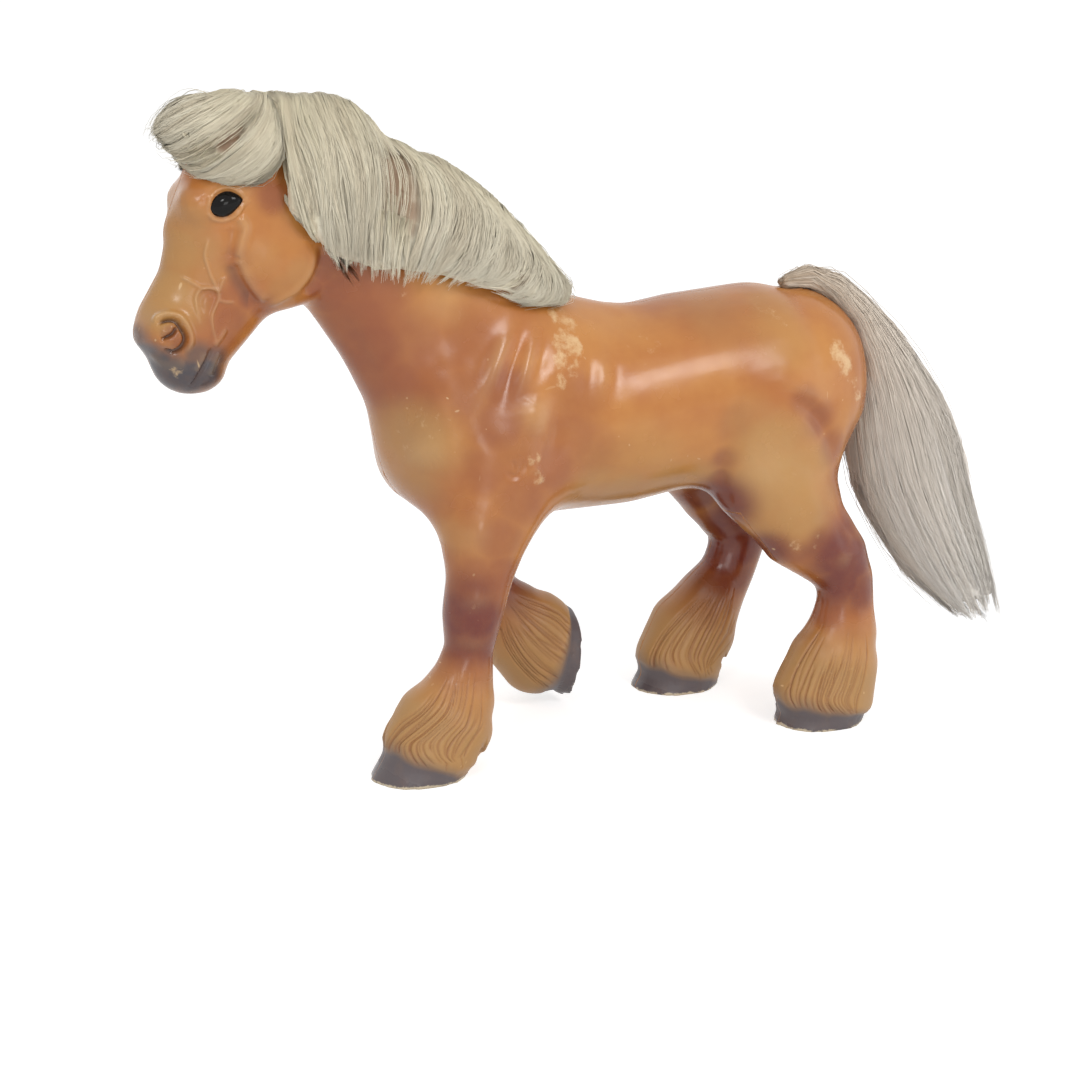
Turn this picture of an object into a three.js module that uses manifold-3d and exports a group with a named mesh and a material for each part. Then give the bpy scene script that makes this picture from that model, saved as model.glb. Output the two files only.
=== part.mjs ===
// Toy draft horse: a hollow moulded body in cemented half shells, with inset eyes
// and a mane, forelock and tail of loose fibre. Millimetres, +Z up, nose towards -X,
// the horse's left side towards -Y.
import * as THREE from 'three';
import { mergeVertices } from 'three/addons/utils/BufferGeometryUtils.js';
import Module from 'manifold-3d';

const wasm = await Module();
wasm.setup();

// Driving sizes of the moulded horse
const withersHeight = 117.5;
const bodyLength = 135;
const barrelDepth = 49;
const barrelWidth = 52;
const neckLength = 78;
const neckDepth = 50;
const neckWidth = 30;
const headLength = 66;
const headDepth = 40;
const headWidth = 24;
const earLength = 15;
const elbowHeight = 72.5;
const legTrack = 43;
const legWidth = 16;
const hoofLength = 26;
const hoofWidth = 23;
const hoofHeight = 6.5;
const featherLift = 2.5;
const raisedHoofTilt = 8;

// Sizes of how the body is made
const wall = 2.2;
const glueLine = 0.2;
const splitDrop = 0.6;
const pinDiameter = 3;
const pinReach = 4;
const bossDiameter = 7;
const fitClearance = 0.3;

// Sizes of the eyes
const eyeLength = 8;
const eyeHeight = 5.8;
const eyeDepth = 5;
const eyeSink = 1;

// Sizes of the fibre and of what holds it
const stripThickness = 1.6;
const stripDepth = 6;
const stripStandUp = 0.6;
const plugDiameter = 7;
const plugLength = 9;
const plugDish = 2;
const forelockPlugDiameter = 5;
const knotDiameter = 5;
const hairLayer = 5.2;
const hairClearance = 0.6;
const earClearance = 1.4;
const tailClearance = 1.6;
const maneDepth = 38;
const forelockLength = 28;
const forelockDepth = 20;
const tailLength = 122;
const tailDepth = 32;
const tailWidth = 21;

// Fineness of the meshes
const skinStep = 1.6;
const cavityStep = 3;
const hairStep = 1.6;
const speck = 0.03;
const skinFaces = 8200;
const cavityFaces = 1500;
const shellFaces = 5300;
const coverFaces = 660;
const maneFaces = 1300;
const forelockFaces = 640;
const tailFaces = 700;
const roundSides = 20;
const beadSides = 14;
const crestSteps = 20;

// Rows of shares of the driving sizes. Torso: x along the body, z up to the withers,
// half depth and half width of the barrel.
const torsoShares = [
  [-0.19, 0.7, 0.35, 0.34],
  [-0.07, 0.745, 0.53, 0.44],
  [0.15, 0.75, 0.53, 0.5],
  [0.31, 0.78, 0.53, 0.5],
  [0.45, 0.803, 0.505, 0.51],
  [0.535, 0.815, 0.445, 0.45],
];
// Neck: the root on the body, then x and z along the neck, half depth and half width
const neckRootShares = [-0.11, 0.82];
const neckShares = [
  [0, 0, 0.62, 0.73],
  [-0.22, 0.3, 0.52, 0.52],
  [-0.44, 0.54, 0.44, 0.42],
  [-0.6, 0.69, 0.38, 0.38],
];
// Head, from the top of the neck: x and z along the head, half depth and half width
const headShares = [
  [-0.235, 0.03, 0.42, 0.46],
  [-0.275, -0.18, 0.49, 0.46],
  [-0.4, -0.39, 0.36, 0.38],
  [-0.5, -0.52, 0.33, 0.39],
  [-0.495, -0.61, 0.24, 0.36],
];
// Legs: x along the body, y in half tracks, z up to the elbow, half depth and half
// width in leg widths
const leftForeShares = [
  [-0.12, 0.75, 1.08, 1, 0.75],
  [-0.17, 0.9, 0.88, 0.78, 0.65],
  [-0.19, 1, 0.7, 0.54, 0.5],
  [-0.203, 1, 0.58, 0.5, 0.49],
  [-0.211, 1, 0.45, 0.4, 0.39],
  [-0.22, 1, 0.37, 0.48, 0.44],
  [-0.236, 1, 0.27, 0.64, 0.56],
  [-0.262, 1, 0.18, 0.84, 0.68],
  [-0.288, 1, 0.1, 0.83, 0.74],
];
const leftHindShares = [
  [0.48, 0.6, 1.2, 1.3, 0.75],
  [0.46, 0.75, 0.95, 1.1, 0.75],
  [0.51, 0.92, 0.76, 0.78, 0.62],
  [0.575, 1, 0.64, 0.6, 0.48],
  [0.602, 1, 0.55, 0.5, 0.42],
  [0.605, 1, 0.46, 0.5, 0.44],
  [0.6, 1, 0.34, 0.62, 0.56],
  [0.58, 1, 0.22, 0.82, 0.7],
  [0.56, 1, 0.1, 0.92, 0.76],
];
const rightHindShares = [
  [0.45, 0.6, 1.2, 1.3, 0.75],
  [0.42, 0.75, 0.98, 1.1, 0.75],
  [0.47, 0.92, 0.8, 0.8, 0.62],
  [0.525, 1, 0.64, 0.6, 0.48],
  [0.515, 1, 0.54, 0.5, 0.42],
  [0.495, 1, 0.44, 0.5, 0.44],
  [0.455, 1, 0.34, 0.62, 0.56],
  [0.415, 1, 0.22, 0.82, 0.7],
  [0.385, 1, 0.11, 0.8, 0.74],
];
const rightForeShares = [
  [-0.11, 0.75, 1.08, 1, 0.75],
  [-0.1, 0.9, 0.86, 0.78, 0.65],
  [-0.075, 1, 0.7, 0.55, 0.5],
  [-0.065, 1, 0.57, 0.5, 0.48],
  [-0.045, 1, 0.47, 0.44, 0.42],
  [-0.002, 1, 0.37, 0.62, 0.52],
  [0.035, 1, 0.285, 0.82, 0.68],
  [0.07, 1, 0.22, 0.88, 0.74],
];
// Hooves: x along the body, and the height of the sole's middle up to the elbow
const hoofShares = { leftFore: -0.315, leftHind: 0.55, rightHind: 0.374, rightFore: 0.124 };
const raisedSoleShare = 0.19;
const hoofTaper = 0.86;
const hoofLean = 0.3;
// Muscles: x along the body, y in half barrel widths, z up to the withers, then half
// lengths along x and z in barrel depths and half a width in barrel widths
const muscleShares = [
  [-0.17, 0.5, 0.76, 0.3, 0.36, 0.2],
  [-0.24, 0.3, 0.66, 0.17, 0.2, 0.17],
  [0.03, 0, 0.93, 0.36, 0.12, 0.12],
];
// Head forms, from the top of the neck: x and z along the head, y in half head
// widths, then half lengths along x and z in head depths and half a width in head
// widths. Jowl, brow, nostril and chin.
const headFormShares = [
  [-0.15, -0.25, 0.48, 0.3, 0.31, 0.3],
  [-0.44, -0.03, 0.5, 0.14, 0.12, 0.2],
  [-0.59, -0.49, 0.5, 0.12, 0.12, 0.2],
  [-0.47, -0.68, 0, 0.14, 0.09, 0.2],
];
// Ears from the head's first row: base and tip, x and z along the head, y in half
// head widths, and half sizes in ear lengths
const earShares = [
  [-0.2, 0.13, 0.6, 0.3, 0.24],
  [-0.36, 0.24, 0.58, 0.26, 0.18],
  [-0.49, 0.32, 0.62, 0.08, 0.07],
];
// Eye, from the top of the neck along the head, and its tilt in degrees
const eyeShares = [-0.345, -0.035];
const eyeTilt = 20;
// Mane rows from the neck's root: x and z along the neck, half depth of the fall in
// mane depths, and half width in neck widths
const maneShares = [
  [-0.68, 0.8, 0.42, 0.8],
  [-0.53, 0.73, 0.52, 0.8],
  [-0.4, 0.62, 0.5, 0.85],
  [-0.22, 0.56, 0.44, 0.85],
  [-0.05, 0.46, 0.35, 0.8],
  [0.08, 0.38, 0.27, 0.7],
  [0.19, 0.31, 0.16, 0.5],
];
// Forelock rows from the poll: x and z along it, half depth and half width
const forelockShares = [
  [0.03, -0.1, 0.62, 0.8],
  [-0.33, -0.06, 0.57, 0.86],
  [-0.64, -0.03, 0.52, 0.64],
  [-0.97, 0.14, 0.25, 0.28],
];
// Tail rows from the dock: x and z along it, half depth in tail depths, half width
// in tail widths
const tailShares = [
  [0.02, 0.02, 0.08, 0.16],
  [0.07, 0.01, 0.12, 0.28],
  [0.12, -0.03, 0.19, 0.36],
  [0.175, -0.078, 0.29, 0.42],
  [0.255, -0.25, 0.48, 0.5],
  [0.315, -0.43, 0.54, 0.5],
  [0.4, -0.62, 0.44, 0.4],
  [0.49, -0.76, 0.24, 0.25],
];
const dockShare = 0.545;
const pollShare = 0.13;
const pinShares = [[-0.16, 0.78], [0.2, 0.72], [0.5, 0.85]];
const crestAngles = [66, 82];
const crestEndShares = [0.0, 0.8];
const fibreSplitShare = 0.16;
const coverShares = {
  leftFore: [-0.5, -0.06],
  leftHind: [0.3, 0.75],
  rightFore: [-0.25, 0.22],
  rightHind: [0.24, 0.7],
};
const dishSteps = 5;
// How far each form melts into the next, as shares of its own depth
const blendShares = { torso: 0.12, neck: 0.2, head: 0.12, leg: 0.6, muscle: 0.12, ear: 0.13, face: 0.08 };

// Bare ratios
const half = 0.5;
const farValue = 1000;
const flipCosine = 0.62;
const flatnessLimit = 1e-4;
const edgeWeight = 1e-3;
const pinchShare = 0.05;
const quadricTerms = 10;
const leastFaces = 3;
const halvings = 20;
const loinRow = 3;

const point = (x, y, z) => new THREE.Vector3(x, y, z);

// Field of one piece of limb, an oval cone from station a to station b, below zero
// inside it
function limbPiece(a, b) {
  const axis = b.at.clone().sub(a.at);
  const length = axis.length();
  axis.normalize();
  const side = point(0, 1, 0).addScaledVector(axis, -axis.y).normalize();
  const up = point(0, 0, 0).crossVectors(axis, side);
  return (x, y, z) => {
    const dx = x - a.at.x;
    const dy = y - a.at.y;
    const dz = z - a.at.z;
    const along = dx * axis.x + dy * axis.y + dz * axis.z;
    const t = Math.min(1, Math.max(0, along / length));
    const deep = a.up + (b.up - a.up) * t;
    const wide = a.side + (b.side - a.side) * t;
    const thin = Math.min(deep, wide);
    const past = (along - t * length) / thin;
    const u = (dx * up.x + dy * up.y + dz * up.z) / deep;
    const s = (dx * side.x + dy * side.y + dz * side.z) / wide;
    return (Math.sqrt(u * u + s * s + past * past) - 1) * thin;
  };
}

// A chain of limb pieces with the box that holds it and what it melts into
function limb(stations, blend, clip) {
  const pieces = stations.slice(1).map((b, i) => limbPiece(stations[i], b));
  const box = new THREE.Box3();
  for (const s of stations) {
    const reach = Math.max(s.up, s.side) * (1 + (blend + wall) / Math.min(s.up, s.side));
    box.expandByPoint(s.at.clone().addScalar(reach));
    box.expandByPoint(s.at.clone().addScalar(-reach));
  }
  const at = (x, y, z) => {
    let f = pieces[0](x, y, z);
    for (const piece of pieces) f = Math.min(f, piece(x, y, z));
    return clip ? Math.max(f, clip(x, y, z)) : f;
  };
  return { at, box, blend };
}

// An egg-shaped muscle
function muscle(at, rx, ry, rz, blend) {
  const thin = Math.min(rx, ry, rz);
  const grow = 1 + (blend + wall) / thin;
  const size = point(rx, ry, rz).multiplyScalar(grow);
  return {
    at: (x, y, z) => (Math.hypot((x - at.x) / rx, (y - at.y) / ry, (z - at.z) / rz) - 1) * thin,
    box: new THREE.Box3(at.clone().sub(size), at.clone().add(size)),
    blend,
  };
}

// Rounded union of two fields
function melt(f, g, blend) {
  const h = Math.max(blend - Math.abs(f - g), 0) / blend;
  return Math.min(f, g) - h * h * blend * half * half;
}

function fieldOf(parts) {
  return (x, y, z) => parts.reduce((f, p) => melt(f, p.at(x, y, z), p.blend), farValue);
}

// Samples of melted parts on an even grid, each part only inside its own box
function sampleParts(parts, box, step, level) {
  const count = box.getSize(point(0, 0, 0)).toArray().map((s) => Math.ceil(s / step) + 1);
  const values = new Float32Array(count[0] * count[1] * count[2]).fill(farValue);
  const spot = (corner, c) => {
    const n = Math.round((corner.getComponent(c) - box.min.getComponent(c)) / step);
    return Math.min(count[c] - 1, Math.max(0, n));
  };
  for (const part of parts) {
    const lo = [0, 1, 2].map((c) => spot(part.box.min, c));
    const hi = [0, 1, 2].map((c) => spot(part.box.max, c));
    for (let k = lo[2]; k <= hi[2]; k++) {
      for (let j = lo[1]; j <= hi[1]; j++) {
        for (let i = lo[0]; i <= hi[0]; i++) {
          const n = (k * count[1] + j) * count[0] + i;
          const f = part.at(box.min.x + i * step, box.min.y + j * step, box.min.z + k * step);
          values[n] = melt(values[n], f, part.blend);
        }
      }
    }
  }
  for (let n = 0; n < values.length; n++) values[n] += level;
  return { values, count, box, step };
}

// Samples of any field
function sampleField(field, box, step) {
  const count = box.getSize(point(0, 0, 0)).toArray().map((s) => Math.ceil(s / step) + 1);
  const values = new Float32Array(count[0] * count[1] * count[2]);
  let n = 0;
  for (let k = 0; k < count[2]; k++) {
    for (let j = 0; j < count[1]; j++) {
      for (let i = 0; i < count[0]; i++) {
        values[n] = field(box.min.x + i * step, box.min.y + j * step, box.min.z + k * step);
        n += 1;
      }
    }
  }
  return { values, count, box, step };
}

// The eight corners of a grid cell, one bit for each axis, and its twelve edges
const bits = [1, 2, 4];
const corners = [0, 1, 2, 3, 4, 5, 6, 7].map((c) => bits.map((bit) => (c & bit ? 1 : 0)));
const edges = corners.flatMap((_, a) =>
  bits.filter((bit) => !(a & bit)).map((bit) => [a, a | bit]));

// Corners that hang apart in a cell's pattern of inside and outside corners
function looseCorners(pattern) {
  const isInside = (c) => (pattern >> c) & 1;
  const groups = [];
  const seen = new Set();
  for (let start = 0; start < corners.length; start++) {
    if (seen.has(start)) continue;
    const group = [start];
    seen.add(start);
    for (const c of group) {
      for (const bit of bits) {
        const next = c ^ bit;
        if (seen.has(next) || isInside(next) !== isInside(start)) continue;
        seen.add(next);
        group.push(next);
      }
    }
    groups.push(group);
  }
  for (const side of [0, 1]) {
    const same = groups.filter((g) => isInside(g[0]) === side).sort((a, b) => a.length - b.length);
    if (same.length > 1) return same[0];
  }
  return [];
}
const patternCount = 2 ** corners.length;
const loosePatterns = Array.from({ length: patternCount }, (_, pattern) => looseCorners(pattern));

// Turns the samples at which two sheets of the surface would pinch together
function openPinches({ values, count, step }) {
  const [nx, ny, nz] = count;
  const offset = corners.map((c) => c[0] + c[1] * nx + c[2] * nx * ny);
  for (let changed = true; changed;) {
    changed = false;
    for (let k = 0; k < nz - 1; k++) {
      for (let j = 0; j < ny - 1; j++) {
        for (let i = 0; i < nx - 1; i++) {
          const n = i + (j + k * ny) * nx;
          let pattern = 0;
          for (let c = 0; c < corners.length; c++) if (values[n + offset[c]] < 0) pattern |= 1 << c;
          for (const c of loosePatterns[pattern]) {
            const m = n + offset[c];
            values[m] = values[m] < 0 ? step * pinchShare : -step * pinchShare;
            changed = true;
          }
        }
      }
    }
  }
}

// Closed surface where the samples change sign: one point in each cell that it
// crosses, and a square of four such points round each grid edge that it crosses
function netSurface({ values, count, box, step }) {
  openPinches({ values, count, step });
  const [nx, ny, nz] = count;
  const strides = [1, nx, nx * ny];
  const offset = corners.map((c) => c[0] + c[1] * strides[1] + c[2] * strides[2]);
  const cellPoint = new Int32Array(values.length).fill(-1);
  const points = [];
  for (let k = 0; k < nz - 1; k++) {
    for (let j = 0; j < ny - 1; j++) {
      for (let i = 0; i < nx - 1; i++) {
        const n = i + j * strides[1] + k * strides[2];
        let crossings = 0;
        const sum = [0, 0, 0];
        for (const [a, b] of edges) {
          const fa = values[n + offset[a]];
          const fb = values[n + offset[b]];
          if (fa < 0 === fb < 0) continue;
          const t = fa / (fa - fb);
          for (const c of [0, 1, 2]) sum[c] += corners[a][c] + t * (corners[b][c] - corners[a][c]);
          crossings += 1;
        }
        if (!crossings) continue;
        cellPoint[n] = points.length / 3;
        points.push(
          box.min.x + (i + sum[0] / crossings) * step,
          box.min.y + (j + sum[1] / crossings) * step,
          box.min.z + (k + sum[2] / crossings) * step,
        );
      }
    }
  }
  const faces = [];
  for (let k = 1; k < nz - 1; k++) {
    for (let j = 1; j < ny - 1; j++) {
      for (let i = 1; i < nx - 1; i++) {
        const n = i + j * strides[1] + k * strides[2];
        for (const c of [0, 1, 2]) {
          const inside = values[n] < 0;
          if (inside === values[n + strides[c]] < 0) continue;
          const u = strides[(c + 1) % 3];
          const v = strides[(c + 2) % 3];
          const ring = [n, n - u, n - u - v, n - v].map((m) => cellPoint[m]);
          if (!inside) ring.reverse();
          faces.push([ring[0], ring[1], ring[2]], [ring[0], ring[2], ring[3]]);
        }
      }
    }
  }
  return { points, faces: largestGroup(faces, points.length / 3) };
}

// The faces of the largest connected surface, without the specks round it
function largestGroup(faces, pointCount) {
  const leader = Array.from({ length: pointCount }, (_, v) => v);
  const find = (v) => {
    while (leader[v] !== v) {
      leader[v] = leader[leader[v]];
      v = leader[v];
    }
    return v;
  };
  for (const [a, b, c] of faces) {
    leader[find(b)] = find(a);
    leader[find(c)] = find(a);
  }
  const sizes = new Map();
  for (const [a] of faces) sizes.set(find(a), (sizes.get(find(a)) ?? 0) + 1);
  const largest = [...sizes].reduce((best, group) => (group[1] > best[1] ? group : best))[0];
  return faces.filter(([a]) => find(a) === largest);
}

// Lowest-cost-first queue
class Queue {
  items = [];

  push(item) {
    const a = this.items;
    let i = a.push(item) - 1;
    while (i > 0) {
      const up = (i - 1) >> 1;
      if (a[up].cost <= a[i].cost) break;
      [a[up], a[i]] = [a[i], a[up]];
      i = up;
    }
  }

  pop() {
    const a = this.items;
    const top = a[0];
    const last = a.pop();
    if (!a.length) return top;
    a[0] = last;
    for (let i = 0; ;) {
      let low = i;
      for (const child of [i + i + 1, i + i + 2]) {
        if (child < a.length && a[child].cost < a[low].cost) low = child;
      }
      if (low === i) return top;
      [a[low], a[i]] = [a[i], a[low]];
      i = low;
    }
  }
}

// Thins a closed mesh to about the wanted number of faces, folding away first the
// edges whose loss moves the surface least
function thinOut({ points, faces }, wanted) {
  const p = points.slice();
  const n = p.length / 3;
  const spots = Array.from({ length: n }, (_, v) => point(p[3 * v], p[3 * v + 1], p[3 * v + 2]));
  const quadrics = Array.from({ length: n }, () => new Float64Array(quadricTerms));
  const around = Array.from({ length: n }, () => new Set());
  const tris = faces.map((f) => f.slice());
  const stamps = new Int32Array(n);
  const e1 = point(0, 0, 0);
  const e2 = point(0, 0, 0);
  const normalOf = (a, b, c) => point(0, 0, 0).crossVectors(e1.subVectors(b, a), e2.subVectors(c, a));
  tris.forEach((t, id) => {
    const [a, b, c] = t.map((v) => spots[v]);
    const m = normalOf(a, b, c);
    const area = m.length();
    if (area > 0) m.divideScalar(area);
    const d = -m.dot(a);
    const q = [m.x * m.x, m.x * m.y, m.x * m.z, m.x * d, m.y * m.y, m.y * m.z, m.y * d,
      m.z * m.z, m.z * d, d * d];
    for (const v of t) {
      around[v].add(id);
      for (let i = 0; i < q.length; i++) quadrics[v][i] += q[i] * area;
    }
  });
  const errorAt = (q, s) => q[0] * s.x * s.x + 2 * q[1] * s.x * s.y + 2 * q[2] * s.x * s.z
    + 2 * q[3] * s.x + q[4] * s.y * s.y + 2 * q[5] * s.y * s.z + 2 * q[6] * s.y
    + q[7] * s.z * s.z + 2 * q[8] * s.z + q[9];
  const queue = new Queue();
  const offer = (a, b) => {
    const q = quadrics[a].map((v, i) => v + quadrics[b][i]);
    const length = spots[a].distanceToSquared(spots[b]);
    const tries = [spots[a].clone().lerp(spots[b], half), spots[a], spots[b]];
    const m = new THREE.Matrix3().set(q[0], q[1], q[2], q[1], q[4], q[5], q[2], q[5], q[7]);
    const scale = q[0] + q[4] + q[7];
    if (Math.abs(m.determinant()) > flatnessLimit * scale * scale * scale) {
      const best = point(-q[3], -q[6], -q[8]).applyMatrix3(m.invert());
      if (best.distanceToSquared(tries[0]) < length) tries.push(best);
    }
    let spot = tries[0];
    for (const s of tries) if (errorAt(q, s) < errorAt(q, spot)) spot = s;
    const cost = errorAt(q, spot) + edgeWeight * length;
    queue.push({ cost, a, b, spot: spot.clone(), seen: stamps[a] + stamps[b] });
  };
  const ringOf = (v) => {
    const ring = new Set();
    for (const id of around[v]) for (const w of tris[id]) if (w !== v) ring.add(w);
    return ring;
  };
  for (let v = 0; v < n; v++) for (const w of ringOf(v)) if (w > v) offer(v, w);
  const flips = (v, other, spot) => {
    for (const id of around[v]) {
      const t = tris[id];
      if (t.includes(other)) continue;
      const before = normalOf(spots[t[0]], spots[t[1]], spots[t[2]]);
      const moved = t.map((w) => (w === v ? spot : spots[w]));
      const after = normalOf(...moved);
      if (before.length() < speck * speck) continue;
      if (before.dot(after) <= flipCosine * before.length() * after.length()) return true;
    }
    return false;
  };
  let live = tris.length;
  while (live > wanted && queue.items.length) {
    const { a, b, spot, seen } = queue.pop();
    if (!around[a].size || !around[b].size || seen !== stamps[a] + stamps[b]) continue;
    const ringB = ringOf(b);
    if (!ringB.has(a)) continue;
    const shared = [...ringOf(a)].filter((v) => ringB.has(v));
    if (shared.length !== 2 || shared.some((v) => around[v].size <= leastFaces)) continue;
    if (flips(a, b, spot) || flips(b, a, spot)) continue;
    for (const id of around[b]) {
      const t = tris[id];
      if (t.includes(a)) {
        for (const v of t) if (v !== b) around[v].delete(id);
        live -= 1;
      } else {
        t[t.indexOf(b)] = a;
        around[a].add(id);
      }
    }
    around[b].clear();
    spots[a].copy(spot);
    quadrics[b].forEach((v, i) => { quadrics[a][i] += v; });
    stamps[a] += 1;
    stamps[b] += 1;
    for (const v of ringOf(a)) offer(a, v);
  }
  return keepLive(spots, tris, around);
}

// The faces that are left after thinning, with their points numbered afresh
function keepLive(spots, tris, around) {
  const number = new Map();
  const points = [];
  around.forEach((ids, v) => {
    if (!ids.size) return;
    number.set(v, number.size);
    points.push(...spots[v].toArray());
  });
  const kept = tris.filter((t, id) => t.every((v) => around[v].has(id)));
  return { points, faces: kept.map((t) => t.map((v) => number.get(v))) };
}

function solidOf({ points, faces }) {
  return new wasm.Manifold(new wasm.Mesh({
    numProp: 3,
    vertProperties: new Float32Array(points),
    triVerts: new Uint32Array(faces.flat()),
  }));
}

// A solid's surface as points and faces, thinned again after a cut
function thinSolid(solid, wanted) {
  const { vertProperties, triVerts } = solid.getMesh();
  const faces = [];
  for (let i = 0; i < triVerts.length; i += 3) faces.push([...triVerts.slice(i, i + 3)]);
  return solidOf(thinOut({ points: [...vertProperties], faces }, wanted));
}

function solidFrom(geometry) {
  const bare = geometry.clone();
  bare.deleteAttribute('normal');
  bare.deleteAttribute('uv');
  const merged = mergeVertices(bare);
  return new wasm.Manifold(new wasm.Mesh({
    numProp: 3,
    vertProperties: merged.attributes.position.array,
    triVerts: new Uint32Array(merged.index.array),
  }));
}

function geometryOf(solid) {
  const { vertProperties, triVerts } = solid.getMesh();
  const geometry = new THREE.BufferGeometry();
  geometry.setAttribute('position', new THREE.BufferAttribute(vertProperties, 3));
  geometry.setIndex(new THREE.BufferAttribute(triVerts, 1));
  geometry.computeVertexNormals();
  return geometry;
}

// Closed solid of a cylinder from one point to another
function rod(from, to, diameter) {
  const axis = to.clone().sub(from);
  const r = diameter * half;
  const geometry = new THREE.CylinderGeometry(r, r, axis.length(), roundSides);
  const turn = new THREE.Quaternion().setFromUnitVectors(point(0, 1, 0), axis.clone().normalize());
  geometry.applyQuaternion(turn);
  geometry.translate(...from.clone().lerp(to, half).toArray());
  return solidFrom(geometry);
}

function block(lo, hi) {
  const size = hi.clone().sub(lo);
  const geometry = new THREE.BoxGeometry(size.x, size.y, size.z);
  geometry.translate(...lo.clone().lerp(hi, half).toArray());
  return solidFrom(geometry);
}

// Flat shape in x and z, as thick as given along y, about the middle plane
function slab(outline, thickness) {
  const geometry = new THREE.ExtrudeGeometry(new THREE.Shape(outline), {
    depth: thickness,
    bevelEnabled: false,
  });
  geometry.translate(0, 0, -thickness * half);
  geometry.rotateX(Math.PI * half);
  return solidFrom(geometry);
}

// The inner halves of the legs end a little below the lowest point of the belly
const bellyHeights = torsoShares.map(([, z, up]) => z * withersHeight - up * barrelDepth);
const legSplitHeight = Math.min(...bellyHeights) - splitDrop;

// Stations of the torso, neck and head
const halfTrack = legTrack * half;
const blends = {
  torso: barrelDepth * blendShares.torso,
  neck: neckDepth * blendShares.neck,
  head: headDepth * blendShares.head,
  leg: legWidth * blendShares.leg,
  muscle: barrelDepth * blendShares.muscle,
  ear: earLength * blendShares.ear,
  face: headDepth * blendShares.face,
};
const torsoStations = torsoShares.map(([x, z, up, side]) => ({
  at: point(x * bodyLength, 0, z * withersHeight),
  up: up * barrelDepth,
  side: side * barrelWidth,
}));
const neckRoot = point(neckRootShares[0] * bodyLength, 0, neckRootShares[1] * withersHeight);
const neckStations = neckShares.map(([x, z, up, side]) => ({
  at: neckRoot.clone().add(point(x * neckLength, 0, z * neckLength)),
  up: up * neckDepth,
  side: side * neckWidth,
}));
const poll = neckStations[neckStations.length - 1].at;
const headStations = headShares.map(([x, z, up, side]) => ({
  at: poll.clone().add(point(x * headLength, 0, z * headLength)),
  up: up * headDepth,
  side: side * headWidth,
}));

// A standing leg stops a little above the ground, where the hoof shows below the hair
const aboveHoof = (x, y, z) => featherLift - z;

function legStations(rows, side) {
  return rows.map(([x, y, z, up, wide]) => ({
    at: point(x * bodyLength, side * y * halfTrack, z * elbowHeight),
    up: up * legWidth,
    side: wide * legWidth,
  }));
}

// The raised hoof's sole looks back and a little down
const raisedSole = {
  at: point(hoofShares.rightFore * bodyLength, halfTrack, raisedSoleShare * elbowHeight),
  out: point(1, 0, 0).applyAxisAngle(point(0, 1, 0), THREE.MathUtils.degToRad(raisedHoofTilt)),
};
function beforeRaisedHoof(x, y, z) {
  return point(x, y, z).sub(raisedSole.at).dot(raisedSole.out) + featherLift;
}

const LEFT = -1;
const RIGHT = 1;
const legs = [
  limb(legStations(leftForeShares, LEFT), blends.leg, aboveHoof),
  limb(legStations(leftHindShares, LEFT), blends.leg, aboveHoof),
  limb(legStations(rightHindShares, RIGHT), blends.leg, aboveHoof),
  limb(legStations(rightForeShares, RIGHT), blends.leg, beforeRaisedHoof),
];

function pairOfMuscles([x, y, z, long, high, wide]) {
  const sizes = [long * barrelDepth, wide * barrelWidth, high * barrelDepth];
  return [LEFT, RIGHT].map((side) => {
    const at = point(x * bodyLength, side * y * barrelWidth * half, z * withersHeight);
    return muscle(at, ...sizes, blends.muscle);
  });
}

function pairOfHeadForms([x, z, y, long, high, wide]) {
  const sizes = [long * headDepth, wide * headWidth, high * headDepth];
  return [LEFT, RIGHT].map((side) => {
    const offset = point(x * headLength, side * y * headWidth * half, z * headLength);
    return muscle(poll.clone().add(offset), ...sizes, blends.face);
  });
}

function ear(side) {
  const stations = earShares.map(([x, z, y, deep, wide]) => ({
    at: poll.clone().add(point(x * headLength, side * y * headWidth * half, z * headLength)),
    up: deep * earLength,
    side: wide * earLength,
  }));
  return limb(stations, blends.ear);
}

const trunk = [
  limb(torsoStations, blends.torso),
  limb(neckStations, blends.neck),
  limb(headStations, blends.head),
];
const ears = [ear(LEFT), ear(RIGHT)];
const earless = [
  ...trunk,
  ...muscleShares.flatMap(pairOfMuscles),
  ...headFormShares.flatMap(pairOfHeadForms),
  ...legs,
];
const bodyParts = [...earless, ...ears];
const bodyField = fieldOf(earless);
const earedField = fieldOf(bodyParts);
const trunkField = fieldOf(trunk);

function boxOf(parts, margin) {
  const box = new THREE.Box3();
  for (const part of parts) box.union(part.box);
  return box.expandByScalar(margin);
}

// Where a ray from inside the body leaves it
function surfaceFrom(start, direction) {
  let near = 0;
  let far = withersHeight;
  for (let i = 0; i < halvings; i++) {
    const middle = (near + far) * half;
    const p = start.clone().addScaledVector(direction, middle);
    if (bodyField(p.x, p.y, p.z) < 0) near = middle;
    else far = middle;
  }
  return start.clone().addScaledVector(direction, near);
}

// Hoof: an oval cone that widens to its sole and leans back from its toe
function hoof(sole, out, toe) {
  const r = half * hoofLength;
  const geometry = new THREE.CylinderGeometry(r * hoofTaper, r, hoofHeight, roundSides);
  geometry.scale(1, 1, hoofWidth / hoofLength);
  geometry.translate(0, hoofHeight * half, 0);
  const up = out.clone().negate();
  const across = point(0, 0, 0).crossVectors(toe, up);
  const lean = up.clone().addScaledVector(toe, -hoofLean);
  geometry.applyMatrix4(new THREE.Matrix4().makeBasis(toe, lean, across));
  geometry.translate(...sole.toArray());
  return solidFrom(geometry);
}

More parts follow.
